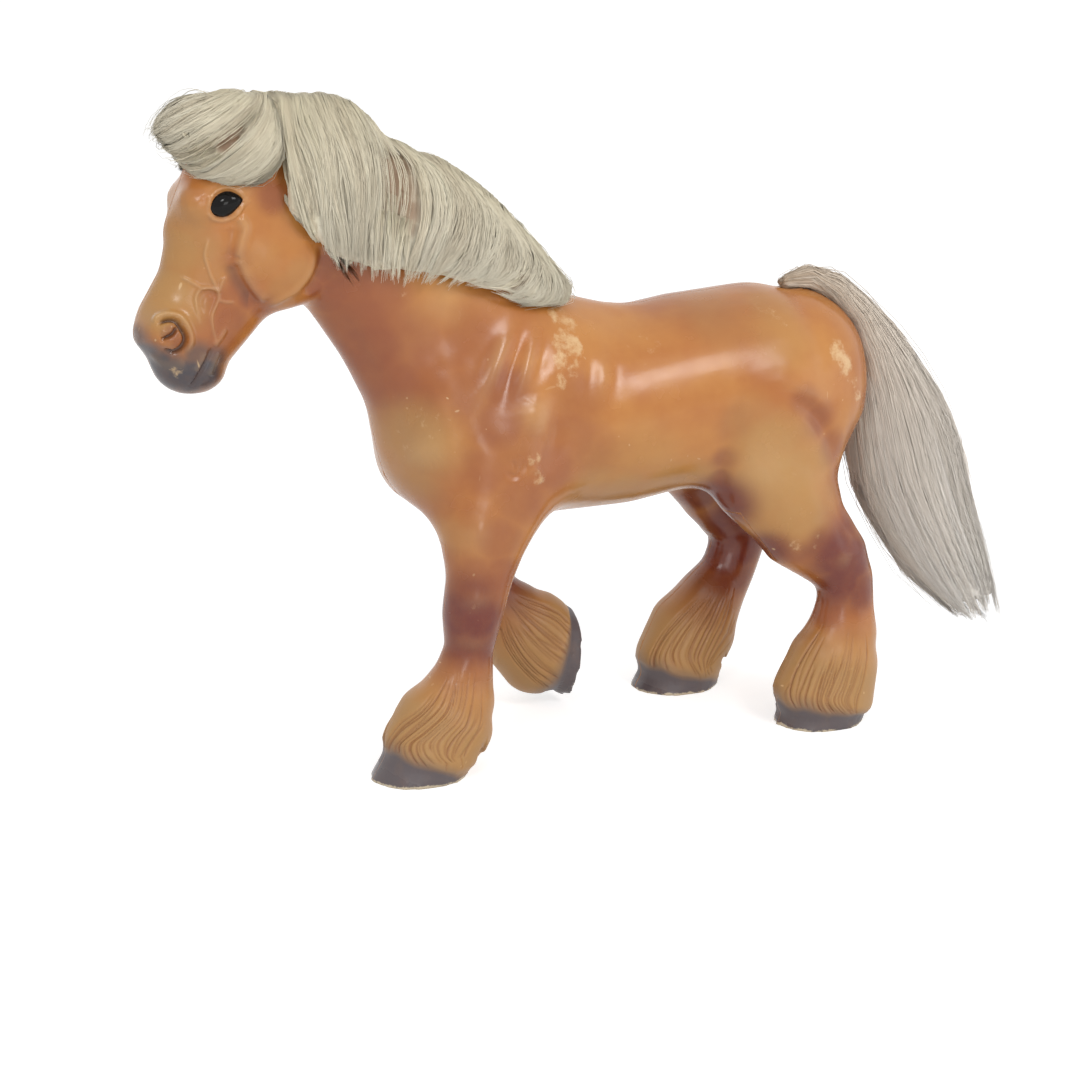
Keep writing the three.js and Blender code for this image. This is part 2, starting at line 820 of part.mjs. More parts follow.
const down = point(0, 0, -1);
const ahead = point(-1, 0, 0);
const raisedToe = point(0, 0, 0).crossVectors(raisedSole.out, point(0, -1, 0));
const hooves = [
  hoof(point(hoofShares.leftFore * bodyLength, -halfTrack, 0), down, ahead),
  hoof(point(hoofShares.leftHind * bodyLength, -halfTrack, 0), down, ahead),
  hoof(point(hoofShares.rightHind * bodyLength, halfTrack, 0), down, ahead),
  hoof(raisedSole.at, raisedSole.out, raisedToe),
];

const bodyBox = boxOf(bodyParts, skinStep + skinStep);
const skin = hooves.reduce(
  (solid, h) => solid.add(h),
  solidOf(thinOut(netSurface(sampleParts(bodyParts, bodyBox, skinStep, 0)), skinFaces)),
);
const cavity = solidOf(
  thinOut(netSurface(sampleParts(bodyParts, bodyBox, cavityStep, wall)), cavityFaces),
);

// Posts across the hollow, each with a pin on the left half and a hole in the right
const bodyHalfWidth = bodyBox.max.y;
const acrossBody = (at, from, to, diameter) =>
  rod(at.clone().setY(from), at.clone().setY(to), diameter);
const pinSpots = pinShares.map(([x, z]) => point(x * bodyLength, 0, z * withersHeight));
const posts = pinSpots.map((at) => acrossBody(at, -bodyHalfWidth, bodyHalfWidth, bossDiameter));
const pins = pinSpots.map((at) => acrossBody(at, -pinReach, pinReach, pinDiameter));
const pinHoles = pinSpots.map((at) =>
  acrossBody(at, -pinReach, pinReach + fitClearance, pinDiameter + fitClearance + fitClearance));

// Dock and poll: where the plugs stand, flush with the back and with the top of the head
const skyward = point(0, 0, 1);
const dockAxis = point(dockShare * bodyLength, 0, torsoStations[loinRow].at.z);
const dock = surfaceFrom(dockAxis, skyward);
const pollTop = surfaceFrom(poll.clone().setX(poll.x - pollShare * headLength), skyward);
const plugBoss = (at, diameter) =>
  rod(at.clone().setZ(at.z - plugLength - wall), at, diameter + wall + wall);

// Plug with a dished top for the knot at the root of the fibre
function plug(at, diameter, dish) {
  const r = diameter * half;
  const cup = knotDiameter * half + fitClearance;
  const rim = Math.sqrt(cup * cup - (cup - dish) * (cup - dish));
  const profile = [new THREE.Vector2(0, -plugLength), new THREE.Vector2(r, -plugLength)];
  profile.push(new THREE.Vector2(r, -fitClearance), new THREE.Vector2(rim, -fitClearance));
  for (let i = 1; i <= dishSteps; i++) {
    const a = Math.asin(rim / cup) * (1 - i / dishSteps);
    profile.push(new THREE.Vector2(cup * Math.sin(a), cup - dish - cup * Math.cos(a) - fitClearance));
  }
  const geometry = new THREE.LatheGeometry(profile, roundSides);
  geometry.rotateX(Math.PI * half);
  geometry.translate(...at.toArray());
  return solidFrom(geometry);
}
const plugHole = (at, diameter) =>
  rod(at.clone().setZ(at.z - plugLength - fitClearance), at.clone().setZ(at.z + wall),
    diameter + fitClearance + fitClearance);
const knotAt = dock.clone().setZ(dock.z - plugDish + knotDiameter * half);

// Crest of the neck, from the poll to the withers
const crestAxis = [...neckStations].reverse().map((s) => s.at);
crestAxis.push(point(crestEndShares[0] * bodyLength, 0, crestEndShares[1] * withersHeight));
const crestRoute = new THREE.CatmullRomCurve3(crestAxis);
const crest = [];
for (let i = 0; i <= crestSteps; i++) {
  const t = i / crestSteps;
  const angle = THREE.MathUtils.degToRad(crestAngles[0] + (crestAngles[1] - crestAngles[0]) * t);
  const out = point(Math.cos(angle), 0, Math.sin(angle));
  crest.push({ at: surfaceFrom(crestRoute.getPoint(t), out), out });
}

// Band along a run of the crest between two depths below it
function crestBand(run, above, below, thickness) {
  const row = (depth) => run.map(({ at, out }) =>
    new THREE.Vector2(at.x + out.x * depth, at.z + out.z * depth));
  return slab([...row(above), ...row(-below).reverse()], thickness);
}
const stripBelow = stripDepth - stripStandUp;
const slotThickness = stripThickness + fitClearance + fitClearance;
const strip = crestBand(crest.slice(1, -1), stripStandUp, stripBelow, stripThickness);
const stripSlot = crestBand(crest, wall, stripBelow + fitClearance, slotThickness);
const stripGroove = crestBand(crest, stripStandUp + fitClearance, stripBelow, slotThickness);
const crestRib = crestBand(crest, wall, stripBelow + wall, stripThickness + wall + wall);

// Eye: an egg that lies on the head with its long way tilted, and the boss behind it
const eyeSpot = point(poll.x + eyeShares[0] * headLength, 0, poll.z + eyeShares[1] * headLength);
function eye(side, grow) {
  const out = point(0, side, 0);
  const geometry = new THREE.SphereGeometry(half, beadSides, beadSides * half);
  geometry.scale(eyeLength + grow, eyeDepth + grow, eyeHeight + grow);
  geometry.rotateY(THREE.MathUtils.degToRad(eyeTilt));
  const at = surfaceFrom(eyeSpot, out).addScaledVector(out, -eyeSink);
  geometry.translate(...at.toArray());
  return solidFrom(geometry);
}
function eyeBoss(side) {
  const out = point(0, side, 0);
  const face = surfaceFrom(eyeSpot, out);
  const back = face.clone().addScaledVector(out, -eyeSink - eyeDepth * half - fitClearance - wall);
  return rod(back, face.addScaledVector(out, wall), eyeLength + wall + wall);
}

// Moulded body before it is parted: the hollow skin with its inner ribs and bosses
const inner = [
  ...posts,
  crestRib,
  plugBoss(dock, plugDiameter),
  plugBoss(pollTop, forelockPlugDiameter),
  eyeBoss(LEFT),
  eyeBoss(RIGHT),
].map((rib) => rib.intersect(skin));

const moulded = inner.reduce((solid, rib) => solid.add(rib), skin.subtract(cavity))
  .subtract(stripSlot)
  .subtract(plugHole(dock, plugDiameter))
  .subtract(plugHole(pollTop, forelockPlugDiameter));

// Sides are parted on the middle plane, and the inner half of each leg is a cover
// that closes the hollow leg along its own middle plane
const outside = bodyBox.clone().expandByScalar(wall);
const sideBlock = (side) => (side === LEFT
  ? block(outside.min, outside.max.clone().setY(-glueLine * half))
  : block(outside.min.clone().setY(glueLine * half), outside.max));
function coverBlock(side, [from, to], grow) {
  const y = side * (halfTrack - glueLine * half + grow);
  const lo = point(from * bodyLength - grow, Math.min(0, y), outside.min.z);
  const hi = point(to * bodyLength + grow, Math.max(0, y), legSplitHeight + grow);
  return block(lo, hi);
}
const covers = [
  ['left_fore_leg_cover', LEFT, coverShares.leftFore],
  ['left_hind_leg_cover', LEFT, coverShares.leftHind],
  ['right_fore_leg_cover', RIGHT, coverShares.rightFore],
  ['right_hind_leg_cover', RIGHT, coverShares.rightHind],
].map(([name, side, span]) => ({
  name,
  side,
  solid: thinSolid(moulded.intersect(coverBlock(side, span, 0)), coverFaces),
  room: coverBlock(side, span, glueLine),
}));
function sideShell(side) {
  const rooms = covers.filter((c) => c.side === side).map((c) => c.room);
  const shell = rooms.reduce((solid, room) => solid.subtract(room), moulded.intersect(sideBlock(side)));
  const socketed = shell.subtract(eye(side, fitClearance + fitClearance));
  const keyed = side === LEFT
    ? pins.reduce((solid, p) => solid.add(p), socketed)
    : pinHoles.reduce((solid, p) => solid.subtract(p), socketed);
  return thinSolid(keyed, shellFaces);
}

// Fibre lies on the body as a layer, a little clear of it
const layerField = (x, y, z) => trunkField(x, y, z) - hairLayer;
const clearField = (x, y, z) => hairClearance - bodyField(x, y, z);
const maneStations = maneShares.map(([x, z, deep, wide]) => ({
  at: neckRoot.clone().add(point(x * neckLength, 0, z * neckLength)),
  up: deep * maneDepth,
  side: wide * neckWidth,
}));
const fibreSplit = poll.x - fibreSplitShare * headLength;
const maneFall = limb(maneStations, blends.neck);
const maneField = (x, y, z) => Math.max(
  maneFall.at(x, y, z), layerField(x, y, z), hairClearance - earedField(x, y, z),
  fibreSplit + hairClearance * half - x);
const forelockStations = forelockShares.map(([x, z, deep, wide]) => ({
  at: pollTop.clone().add(point(x * forelockLength, 0, z * forelockLength)),
  up: deep * forelockDepth,
  side: wide * forelockDepth,
}));
const forelockFall = limb(forelockStations, blends.ear);
const forelockField = (x, y, z) => Math.max(
  forelockFall.at(x, y, z), clearField(x, y, z), x - fibreSplit + hairClearance * half);
const tailStations = tailShares.map(([x, z, deep, wide]) => ({
  at: knotAt.clone().add(point(x * tailLength, 0, z * tailLength)),
  up: deep * tailDepth,
  side: wide * tailWidth,
}));
const tailFall = limb(tailStations, blends.ear);
const knotClear = (x, y, z) => knotDiameter * half + fitClearance
  - Math.hypot(x - knotAt.x, y - knotAt.y, z - knotAt.z);
const swingClear = (x, y, z) => tailClearance - bodyField(x, y, z);
const tailField = (x, y, z) => Math.max(
  tailFall.at(x, y, z), swingClear(x, y, z), knotClear(x, y, z), knotAt.x - x);

// Room round an ear where it passes through the fibre
function earRoom(part) {
  const box = part.box.clone().expandByScalar(hairStep + hairStep);
  return solidOf(netSurface(sampleParts([part], box, hairStep, -earClearance)));
}

function fibre(field, fall, rooms, faces) {
  const box = fall.box.clone().expandByScalar(hairStep + hairStep);
  const whole = solidOf(netSurface(sampleField(field, box, hairStep)));
  return thinSolid(rooms.reduce((solid, room) => solid.subtract(room), whole), faces);
}

const paint = (color, roughness, metalness = 0) =>
  new THREE.MeshStandardMaterial({ color, roughness, metalness });
const bodyPaint = () => paint('#bd7c48', 0.42);
const coverPaint = () => paint('#b9834f', 0.5);
const eyeGloss = () => paint('#15100e', 0.08);
const fibreFinish = () => paint('#c9bfa4', 0.7);
const plugPlastic = () => paint('#d8c49a', 0.5);
const stripCloth = () => paint('#cbbd98', 0.9);
const knotThread = () => paint('#b8a780', 0.9);

const horse = new THREE.Group();
function piece(name, solid, material) {
  const mesh = new THREE.Mesh(geometryOf(solid), material);
  mesh.name = name;
  horse.add(mesh);
}
piece('left_body_shell', sideShell(LEFT), bodyPaint());
piece('right_body_shell', sideShell(RIGHT), bodyPaint());
for (const cover of covers) piece(cover.name, cover.solid, coverPaint());
piece('left_eye', eye(LEFT, 0), eyeGloss());
piece('right_eye', eye(RIGHT, 0), eyeGloss());
piece('mane_strip', strip, stripCloth());
piece('mane_hair', fibre(maneField, maneFall, [], maneFaces).subtract(stripGroove), fibreFinish());
piece('forelock_plug', plug(pollTop, forelockPlugDiameter, 0), plugPlastic());
piece('forelock_hair',
  fibre(forelockField, forelockFall, ears.map(earRoom), forelockFaces), fibreFinish());
piece('tail_plug', plug(dock, plugDiameter, plugDish), plugPlastic());
piece('tail_knot', solidFrom(new THREE.SphereGeometry(knotDiameter * half, beadSides, beadSides * half)
  .translate(...knotAt.toArray())), knotThread());
piece('tail_hair', fibre(tailField, tailFall, [], tailFaces), fibreFinish());

// The origin is under the middle of the whole figure, on the ground
const footprint = new THREE.Box3().setFromObject(horse);
const centre = footprint.getCenter(point(0, 0, 0));
horse.position.set(-centre.x, -centre.y, -footprint.min.z);

export default horse;
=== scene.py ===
import math

import bmesh
import bpy
import numpy as np
from mathutils import Matrix, Vector
from mathutils.bvhtree import BVHTree
from mathutils.kdtree import KDTree


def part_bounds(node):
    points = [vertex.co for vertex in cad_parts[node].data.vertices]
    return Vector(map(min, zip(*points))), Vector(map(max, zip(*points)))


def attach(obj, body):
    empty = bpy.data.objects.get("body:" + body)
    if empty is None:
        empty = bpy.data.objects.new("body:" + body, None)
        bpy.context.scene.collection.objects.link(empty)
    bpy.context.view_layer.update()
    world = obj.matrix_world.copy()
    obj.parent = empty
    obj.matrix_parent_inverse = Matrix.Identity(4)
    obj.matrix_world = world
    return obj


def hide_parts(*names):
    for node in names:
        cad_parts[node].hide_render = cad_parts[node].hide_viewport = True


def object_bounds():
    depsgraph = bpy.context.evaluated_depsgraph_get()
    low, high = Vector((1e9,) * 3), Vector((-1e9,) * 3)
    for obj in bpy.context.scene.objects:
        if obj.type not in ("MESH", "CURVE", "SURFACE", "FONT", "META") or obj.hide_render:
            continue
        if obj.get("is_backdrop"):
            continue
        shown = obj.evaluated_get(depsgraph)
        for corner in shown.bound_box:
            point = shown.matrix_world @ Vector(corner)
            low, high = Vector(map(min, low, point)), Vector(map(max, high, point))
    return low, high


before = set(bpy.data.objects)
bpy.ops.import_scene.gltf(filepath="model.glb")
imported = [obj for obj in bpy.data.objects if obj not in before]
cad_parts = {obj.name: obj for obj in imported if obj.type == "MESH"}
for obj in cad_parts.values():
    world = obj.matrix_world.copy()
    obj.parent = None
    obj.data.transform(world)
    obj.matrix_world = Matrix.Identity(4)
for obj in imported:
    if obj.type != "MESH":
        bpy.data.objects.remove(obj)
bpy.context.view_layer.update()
MM = 0.001

# The camera stands a little in front of the horse's left flank and looks down on it,
# as the photograph does, through a long lens.
CAMERA_TARGET = Vector((-16.35, 0.15, 53.3)) * MM
CAMERA_DISTANCE = 643 * MM
CAMERA_AZIMUTH = math.radians(-22)
CAMERA_ELEVATION = math.radians(15)
LENS = 79.95
SENSOR = 36
PHOTO_SIZE = 1080
LEFT, RIGHT = -1, 1


def added(name, data):
    """A new object in the scene."""
    made = bpy.data.objects.new(name, data)
    bpy.context.scene.collection.objects.link(made)
    return made


camera_back = Vector((
    math.sin(CAMERA_AZIMUTH) * math.cos(CAMERA_ELEVATION),
    -math.cos(CAMERA_AZIMUTH) * math.cos(CAMERA_ELEVATION),
    math.sin(CAMERA_ELEVATION),
))
camera_data = bpy.data.cameras.new("camera")
camera_data.lens = LENS
camera_data.sensor_width = SENSOR
camera = added("camera", camera_data)
camera.location = CAMERA_TARGET + camera_back * CAMERA_DISTANCE
camera_turn = (-camera_back).to_track_quat("-Z", "Y")
camera.rotation_euler = camera_turn.to_euler()
bpy.context.scene.camera = camera
bpy.context.scene.view_settings.view_transform = "Standard"


def photo_ray(pixel):
    """Direction in which the camera sees a point of the photograph."""
    across = (pixel[0] / PHOTO_SIZE - 0.5) * SENSOR
    down = (pixel[1] / PHOTO_SIZE - 0.5) * SENSOR
    return (camera_turn @ Vector((across, -down, -LENS))).normalized()


SIGHT_STEPS = 70
SIGHT_REACH = 0.05


def on_surface(tree, pixel):
    """Where the camera sees a point of the photograph on a surface, or what lies nearest
    to that line of sight."""
    direction = photo_ray(pixel)
    hit = tree.ray_cast(camera.location, direction)[0]
    if hit is not None:
        return hit
    middle = -camera.location.y / direction.y
    places = [camera.location + direction * (middle + SIGHT_REACH * (2 * k / SIGHT_STEPS - 1))
              for k in range(SIGHT_STEPS + 1)]
    return min((tree.find_nearest(q) for q in places), key=lambda found: found[3])[0]


# Plain studio: a pale floor that keeps the shadow, a white surround and soft lamps.
FLOOR_SIZE = 16
FLOOR_COLOUR = (0.72, 0.72, 0.72, 1)
FLOOR_GLOW = 0.62
WORLD_LEVEL = 0.62
LAMPS = {
    "key": ((0.22, -0.85, 0.75), 0.32, 3.1),
    "front": ((-0.72, -0.9, 0.78), 0.2, 1.9),
    "low": ((-0.34, -1.0, 0.24), 0.26, 0.8),
    "side": ((0.9, -0.6, 0.1), 0.8, 1.5),
    "back": ((-0.3, 0.9, 0.5), 0.7, 0.8),
}


def add_node(tree, kind, **values):
    """A node with its settings, and its inputs by name or number."""
    node = tree.nodes.new(kind)
    for key, value in values.pop("settings", {}).items():
        setattr(node, key, value)
    for key, value in values.items():
        socket = node.inputs[int(key[2:]) if key.startswith("in") and key[2:].isdigit()
                             else key.replace("_", " ")]
        if isinstance(value, bpy.types.NodeSocket):
            tree.links.new(value, socket)
        else:
            socket.default_value = value
    return node


def seen_directly(tree):
    """1 where the camera, a reflection or a view through the object looks at it."""
    path = add_node(tree, "ShaderNodeLightPath")
    seen = path.outputs["Is Camera Ray"]
    for name in ("Is Glossy Ray", "Is Transmission Ray"):
        both = add_node(tree, "ShaderNodeMath", settings={"operation": "MAXIMUM"},
                        in0=seen, in1=path.outputs[name])
        seen = both.outputs[0]
    return seen


def mesh_of(bm, name):
    """A mesh of what a bmesh holds, which is freed."""
    data = bpy.data.meshes.new(name)
    bm.to_mesh(data)
    bm.free()
    return data


def new_material(name):
    """A material, its node tree and its surface shader."""
    material = bpy.data.materials.new(name)
    material.use_nodes = True
    return material, material.node_tree, material.node_tree.nodes["Principled BSDF"]


world = bpy.data.worlds.new("studio")
world.use_nodes = True
bpy.context.scene.world = world
sky = world.node_tree
level = add_node(sky, "ShaderNodeMix", Factor=seen_directly(sky), in2=WORLD_LEVEL, in3=1.0)
sky.links.new(level.outputs[0], sky.nodes["Background"].inputs["Strength"])
sky.nodes["Background"].inputs["Color"].default_value = (1, 1, 1, 1)

floor_grid = bmesh.new()
bmesh.ops.create_grid(floor_grid, x_segments=1, y_segments=1, size=FLOOR_SIZE / 2)
floor = added("floor", mesh_of(floor_grid, "floor"))
floor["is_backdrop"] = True
floor_paint, paper, _ = new_material("floor")
paper.nodes.clear()
diffuse = add_node(paper, "ShaderNodeBsdfDiffuse", Color=FLOOR_COLOUR)
dimmed = add_node(paper, "ShaderNodeMix", Factor=seen_directly(paper), in2=0.0, in3=FLOOR_GLOW)
glow = add_node(paper, "ShaderNodeEmission", Strength=dimmed.outputs[0])
both = add_node(paper, "ShaderNodeAddShader", in0=diffuse.outputs[0], in1=glow.outputs[0])
add_node(paper, "ShaderNodeOutputMaterial", Surface=both.outputs[0])
floor.data.materials.append(floor_paint)

for lamp_name, (place, size, power) in LAMPS.items():
    lamp_data = bpy.data.lights.new(lamp_name, "AREA")
    lamp_data.size = size
    lamp_data.energy = power
    lamp = added(lamp_name, lamp_data)
    lamp.location = place
    lamp.rotation_euler = (CAMERA_TARGET - lamp.location).to_track_quat("-Z", "Y").to_euler()


# Moulded body: one smooth skin over both half shells and the four leg covers, before
# it is carved with the muscles, face and leg hair and parted as the real shells are.
LEG_COVERS = ["left_fore_leg_cover", "left_hind_leg_cover", "right_fore_leg_cover",
              "right_hind_leg_cover"]
SKIN_PIECES = ["left_body_shell", "right_body_shell"] + LEG_COVERS
FILLERS = ["mane_strip", "forelock_plug", "tail_plug", "left_eye", "right_eye"]
SKIN_CELL = 1.1 * MM
WELD = 0.01 * MM
RELAX_ROUNDS = 24
RELAX_FORTH, RELAX_BACK = 0.5, -0.53
MIDDLE_Y = (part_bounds("left_eye")[0].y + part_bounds("right_eye")[1].y) / 2


def outer_skin(nodes, cell, hull=False, lump=None):
    """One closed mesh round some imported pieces, or round their hull or with a lump added,
    without what is inside it."""
    bm = bmesh.new()
    for node in nodes:
        bm.from_mesh(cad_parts[node].data)
    bmesh.ops.remove_doubles(bm, verts=bm.verts, dist=WELD)
    if hull:
        bmesh.ops.convex_hull(bm, input=bm.verts)
    if lump:
        middle, radii = lump
        place = Matrix.Translation(Vector(middle) * MM) @ Matrix.Diagonal((*Vector(radii) * MM, 1))
        bmesh.ops.create_icosphere(bm, subdivisions=3, radius=1, matrix=place)
    data = mesh_of(bm, "wrapped")
    wrapped = added("wrapped", data)
    remesh = wrapped.modifiers.new("remesh", "REMESH")
    remesh.mode = "VOXEL"
    remesh.voxel_size = cell
    bm = bmesh.new()
    bm.from_mesh(wrapped.evaluated_get(bpy.context.evaluated_depsgraph_get()).to_mesh())
    bpy.data.objects.remove(wrapped)
    bpy.data.meshes.remove(data)
    keep_largest(bm)
    return bm


def keep_largest(bm):
    """Deletes every loose part but the one with the most points."""
    unseen = set(bm.verts)
    groups = []
    while unseen:
        stack = [unseen.pop()]
        group = []
        while stack:
            v = stack.pop()
            group.append(v)
            for e in v.link_edges:
                w = e.other_vert(v)
                if w in unseen:
                    unseen.remove(w)
                    stack.append(w)
        groups.append(group)
    groups.sort(key=len)
    for group in groups[:-1]:
        bmesh.ops.delete(bm, geom=group, context="VERTS")


def spots(bm):
    """Where the points of a bmesh are, as rows of an array."""
    return np.array([v.co for v in bm.verts])


def put_spots(bm, co):
    """Moves the points of a bmesh to the rows of an array."""
    for v, spot in zip(bm.verts, co):
        v.co = spot
    bm.normal_update()


def relax(bm, rounds):
    """Smooths out facets and cells without drawing the form in."""
    bm.verts.index_update()
    ends = np.array([[v.index for v in e.verts] for e in bm.edges])
    both = np.concatenate([ends, ends[:, ::-1]])
    share = 1 / np.bincount(both[:, 0], minlength=len(bm.verts))
    co = spots(bm)
    for step in [RELAX_FORTH, RELAX_BACK] * rounds:
        near = np.stack([np.bincount(both[:, 0], co[both[:, 1], c], len(co)) for c in range(3)], 1)
        co += step * (near * share[:, None] - co)
    put_spots(bm, co)


skin = outer_skin(SKIN_PIECES + FILLERS, SKIN_CELL)
relax(skin, RELAX_ROUNDS)


def finer(bm, chosen):
    """Splits the chosen faces in four, and their neighbours to match."""
    edges = {e for f in chosen for e in f.edges}
    bmesh.ops.subdivide_edges(bm, edges=list(edges), cuts=1, use_grid_fill=True, smooth=0)
    relax(bm, 1)


FACE_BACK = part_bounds("forelock_plug")[0].x + 4 * MM
LEG_HAIR_TOP = 40 * MM
finer(skin, skin.faces)
finer(skin, [f for f in skin.faces if f.calc_center_median().z < LEG_HAIR_TOP
             or f.calc_center_median().x < FACE_BACK])

skin_tree = BVHTree.FromBMesh(skin)
skin_spots = spots(skin)
skin_normals = np.array([v.normal for v in skin.verts])
carving = np.zeros(len(skin_spots))


def smooth_line(points, step=0.08):
    """Points along a rounded line through given points."""
    p = np.array([points[0], *points, points[-1]], float)
    t = np.arange(0, 1, step)[:, None]
    runs = []
    for a, b, c, d in zip(p, p[1:], p[2:], p[3:]):
        runs.append(0.5 * (2 * b + (c - a) * t + (2 * a - 5 * b + 4 * c - d) * t ** 2
                           + (3 * b - a - 3 * c + d) * t ** 3))
    return np.concatenate([*runs, p[-1:]])


def on_both_sides(line):
    """A line of the left side and its mirror image on the right."""
    mirrored = line.copy()
    mirrored[:, 1] = 2 * MIDDLE_Y - mirrored[:, 1]
    return [line, mirrored]


def nearest(line, reach):
    """Points of the skin near a line, how far away they are, and how far along it."""
    lo, hi = line.min(0) - reach, line.max(0) + reach
    near = np.flatnonzero(np.all((skin_spots > lo) & (skin_spots < hi), axis=1))
    if not len(near):
        return near, np.zeros(0), np.zeros(0)
    gaps = np.linalg.norm(skin_spots[near, None] - line[None], axis=2)
    return near, gaps.min(1), gaps.argmin(1) / max(1, len(line) - 1)


END_SHARE = 0.12


def carve(lines, taper):
    """Ridges along lines of the photograph, each with its height and width in mm, and
    grooves where the height is below zero. Over the taper they run out at their ends."""
    for pixels, height, width in lines:
        height, width = height * MM, width * MM
        line = np.array([on_surface(skin_tree, p) for p in smooth_line(pixels)])
        for run in on_both_sides(line):
            near, gap, along = nearest(run, 3 * width)
            ends = np.clip(np.minimum(along, 1 - along) / taper, 0, 1)
            ends = END_SHARE + (1 - END_SHARE) * ends ** 2 * (3 - 2 * ends)
            carving[near] += height * np.exp(-(gap / width) ** 2) * ends


# Face: brow, lids, cheek plate, veins, nostrils and mouth, carved in the mould.
FACE_LINES = [
    # brow and lids
    ([(203, 200), (211, 188), (226, 183), (241, 187), (252, 197)], 0.45, 1.7),
    ([(208, 209), (211, 197), (221, 189), (233, 189), (246, 198)], 0.45, 0.6),
    ([(208, 212), (214, 219), (226, 220), (237, 214), (246, 201)], 0.45, 0.6),
    ([(244, 198), (250, 203)], 0.25, 0.7),
    # crest of the face, the front edge of the cheek and the hollow before it
    ([(238, 216), (245, 227), (241, 243), (238, 259)], 1.0, 1.3),
    ([(238, 256), (243, 268), (248, 280), (257, 293), (266, 302)], 0.8, 1.5),
    ([(230, 262), (235, 276), (243, 289), (250, 299), (258, 307)], -0.8, 2.2),
    ([(231, 228), (232, 243), (229, 257)], -0.4, 2.0),
    # round back edge of the cheek plate, standing proud of the neck
    ([(315, 248), (314, 262), (308, 277), (297, 290), (282, 299), (268, 306)], 0.45, 1.1),
    ([(323, 246), (322, 264), (315, 281), (304, 294)], -1.1, 1.5),
    # veins
    ([(208, 240), (205, 254), (207, 264), (211, 276), (216, 287), (219, 293)], 0.42, 0.42),
    ([(181, 277), (191, 282), (200, 287), (206, 288)], 0.3, 0.4),
    ([(225, 277), (221, 285), (219, 292)], 0.4, 0.42),
    ([(219, 300), (226, 302), (233, 302)], 0.3, 0.42),
    ([(200, 322), (197, 308), (196, 298), (200, 290), (208, 288), (216, 290), (219, 296),
      (216, 305), (212, 316), (213, 328), (216, 340)], 0.5, 0.45),
    ([(203, 316), (200, 303), (203, 295), (210, 293), (214, 297)], -0.3, 0.8),
    ([(226, 328), (221, 337), (214, 346)], 0.5, 0.7),
    # nostril: raised rim, the slot inside it and the fold in its middle
    ([(153, 324), (158, 317), (168, 314), (180, 317), (188, 328), (191, 341), (186, 352)],
     0.8, 1.0),
    ([(157, 326), (163, 320), (175, 320), (183, 330), (186, 340), (181, 349), (172, 353),
      (163, 349)], -1.5, 0.75),
    ([(160, 341), (167, 338), (173, 334), (177, 327)], -1.3, 0.6),
    ([(161, 332), (169, 331), (174, 327)], 0.3, 0.7),
    # mouth, chin and the wrinkles at its corner
    ([(213, 347), (208, 358), (202, 370), (196, 381), (190, 388)], -0.75, 0.7),
    ([(206, 352), (202, 362), (196, 372)], 0.4, 0.9),
    ([(219, 352), (214, 364), (209, 376)], 0.35, 1.1),
    ([(150, 352), (160, 361), (172, 366), (186, 362)], 0.3, 1.6),
]
carve(FACE_LINES, taper=0.15)

# Body: the muscles of neck, shoulder, ribs, flank, thigh and hock, soft and wide.
BODY_LINES = [
    # neck and throat
    ([(430, 280), (446, 300), (462, 326)], 0.7, 4.5),
    ([(400, 330), (425, 352), (445, 378)], -0.35, 4.5),
    ([(332, 298), (352, 338), (380, 385)], -0.5, 3.2),
    # shoulder blade, the two heads of the upper arm and the hollows between them
    ([(514, 318), (507, 338), (498, 360), (487, 386), (474, 414)], 0.95, 2.5),
    ([(524, 326), (517, 352), (508, 384), (500, 418)], -0.9, 2.5),
    ([(537, 324), (531, 348), (523, 376), (513, 404)], 0.7, 1.9),
    ([(548, 330), (542, 358), (536, 384)], -0.5, 2.2),
    ([(534, 392), (537, 414), (536, 442)], 1.1, 4.2),
    ([(560, 390), (557, 425), (550, 456), (547, 480)], -0.8, 3.0),
    ([(490, 330), (478, 362), (466, 396)], -0.45, 3.6),
    # breast, point of the shoulder and forearm
    ([(408, 432), (424, 450), (432, 474)], 0.8, 6.5),
    ([(448, 408), (460, 438), (464, 470), (458, 506)], -0.6, 3.6),
    ([(486, 500), (480, 530), (474, 562)], 0.5, 3.2),
    ([(520, 500), (508, 528), (498, 556)], -0.35, 2.2),
    ([(452, 606), (478, 602), (492, 606)], 0.35, 2.4),
    ([(452, 640), (474, 644), (494, 640)], 0.3, 2.0),
    # ribs
    ([(603, 346), (604, 374), (600, 404)], 0.4, 2.2),
    ([(589, 340), (590, 374), (586, 408)], -0.4, 2.6),
    ([(620, 350), (619, 380), (614, 412)], -0.25, 2.8),
    # flank, stifle, thigh and buttock
    ([(752, 372), (742, 402), (733, 432), (725, 462), (720, 486)], -0.9, 3.4),
    ([(728, 452), (722, 470), (722, 488)], -0.6, 1.6),
    ([(768, 383), (788, 387), (812, 397), (832, 414)], 0.45, 2.2),
    ([(780, 394), (800, 402), (818, 418), (830, 440), (838, 468)], -1.1, 2.4),
    ([(788, 408), (802, 422), (814, 446), (822, 474)], 0.55, 3.0),
    ([(756, 430), (764, 466), (782, 500)], 0.7, 8.0),
    ([(832, 486), (826, 512), (816, 536)], -0.5, 2.8),
    # hock: its point, the tendon above it and the hollow between
    ([(840, 500), (851, 522), (866, 546)], 0.45, 1.5),
    ([(834, 520), (844, 540), (850, 556)], -0.5, 1.8),
    ([(836, 556), (852, 560)], 0.45, 2.4),
    ([(700, 512), (706, 530), (704, 560)], 0.3, 2.2),
]
carve(BODY_LINES, taper=0.5)

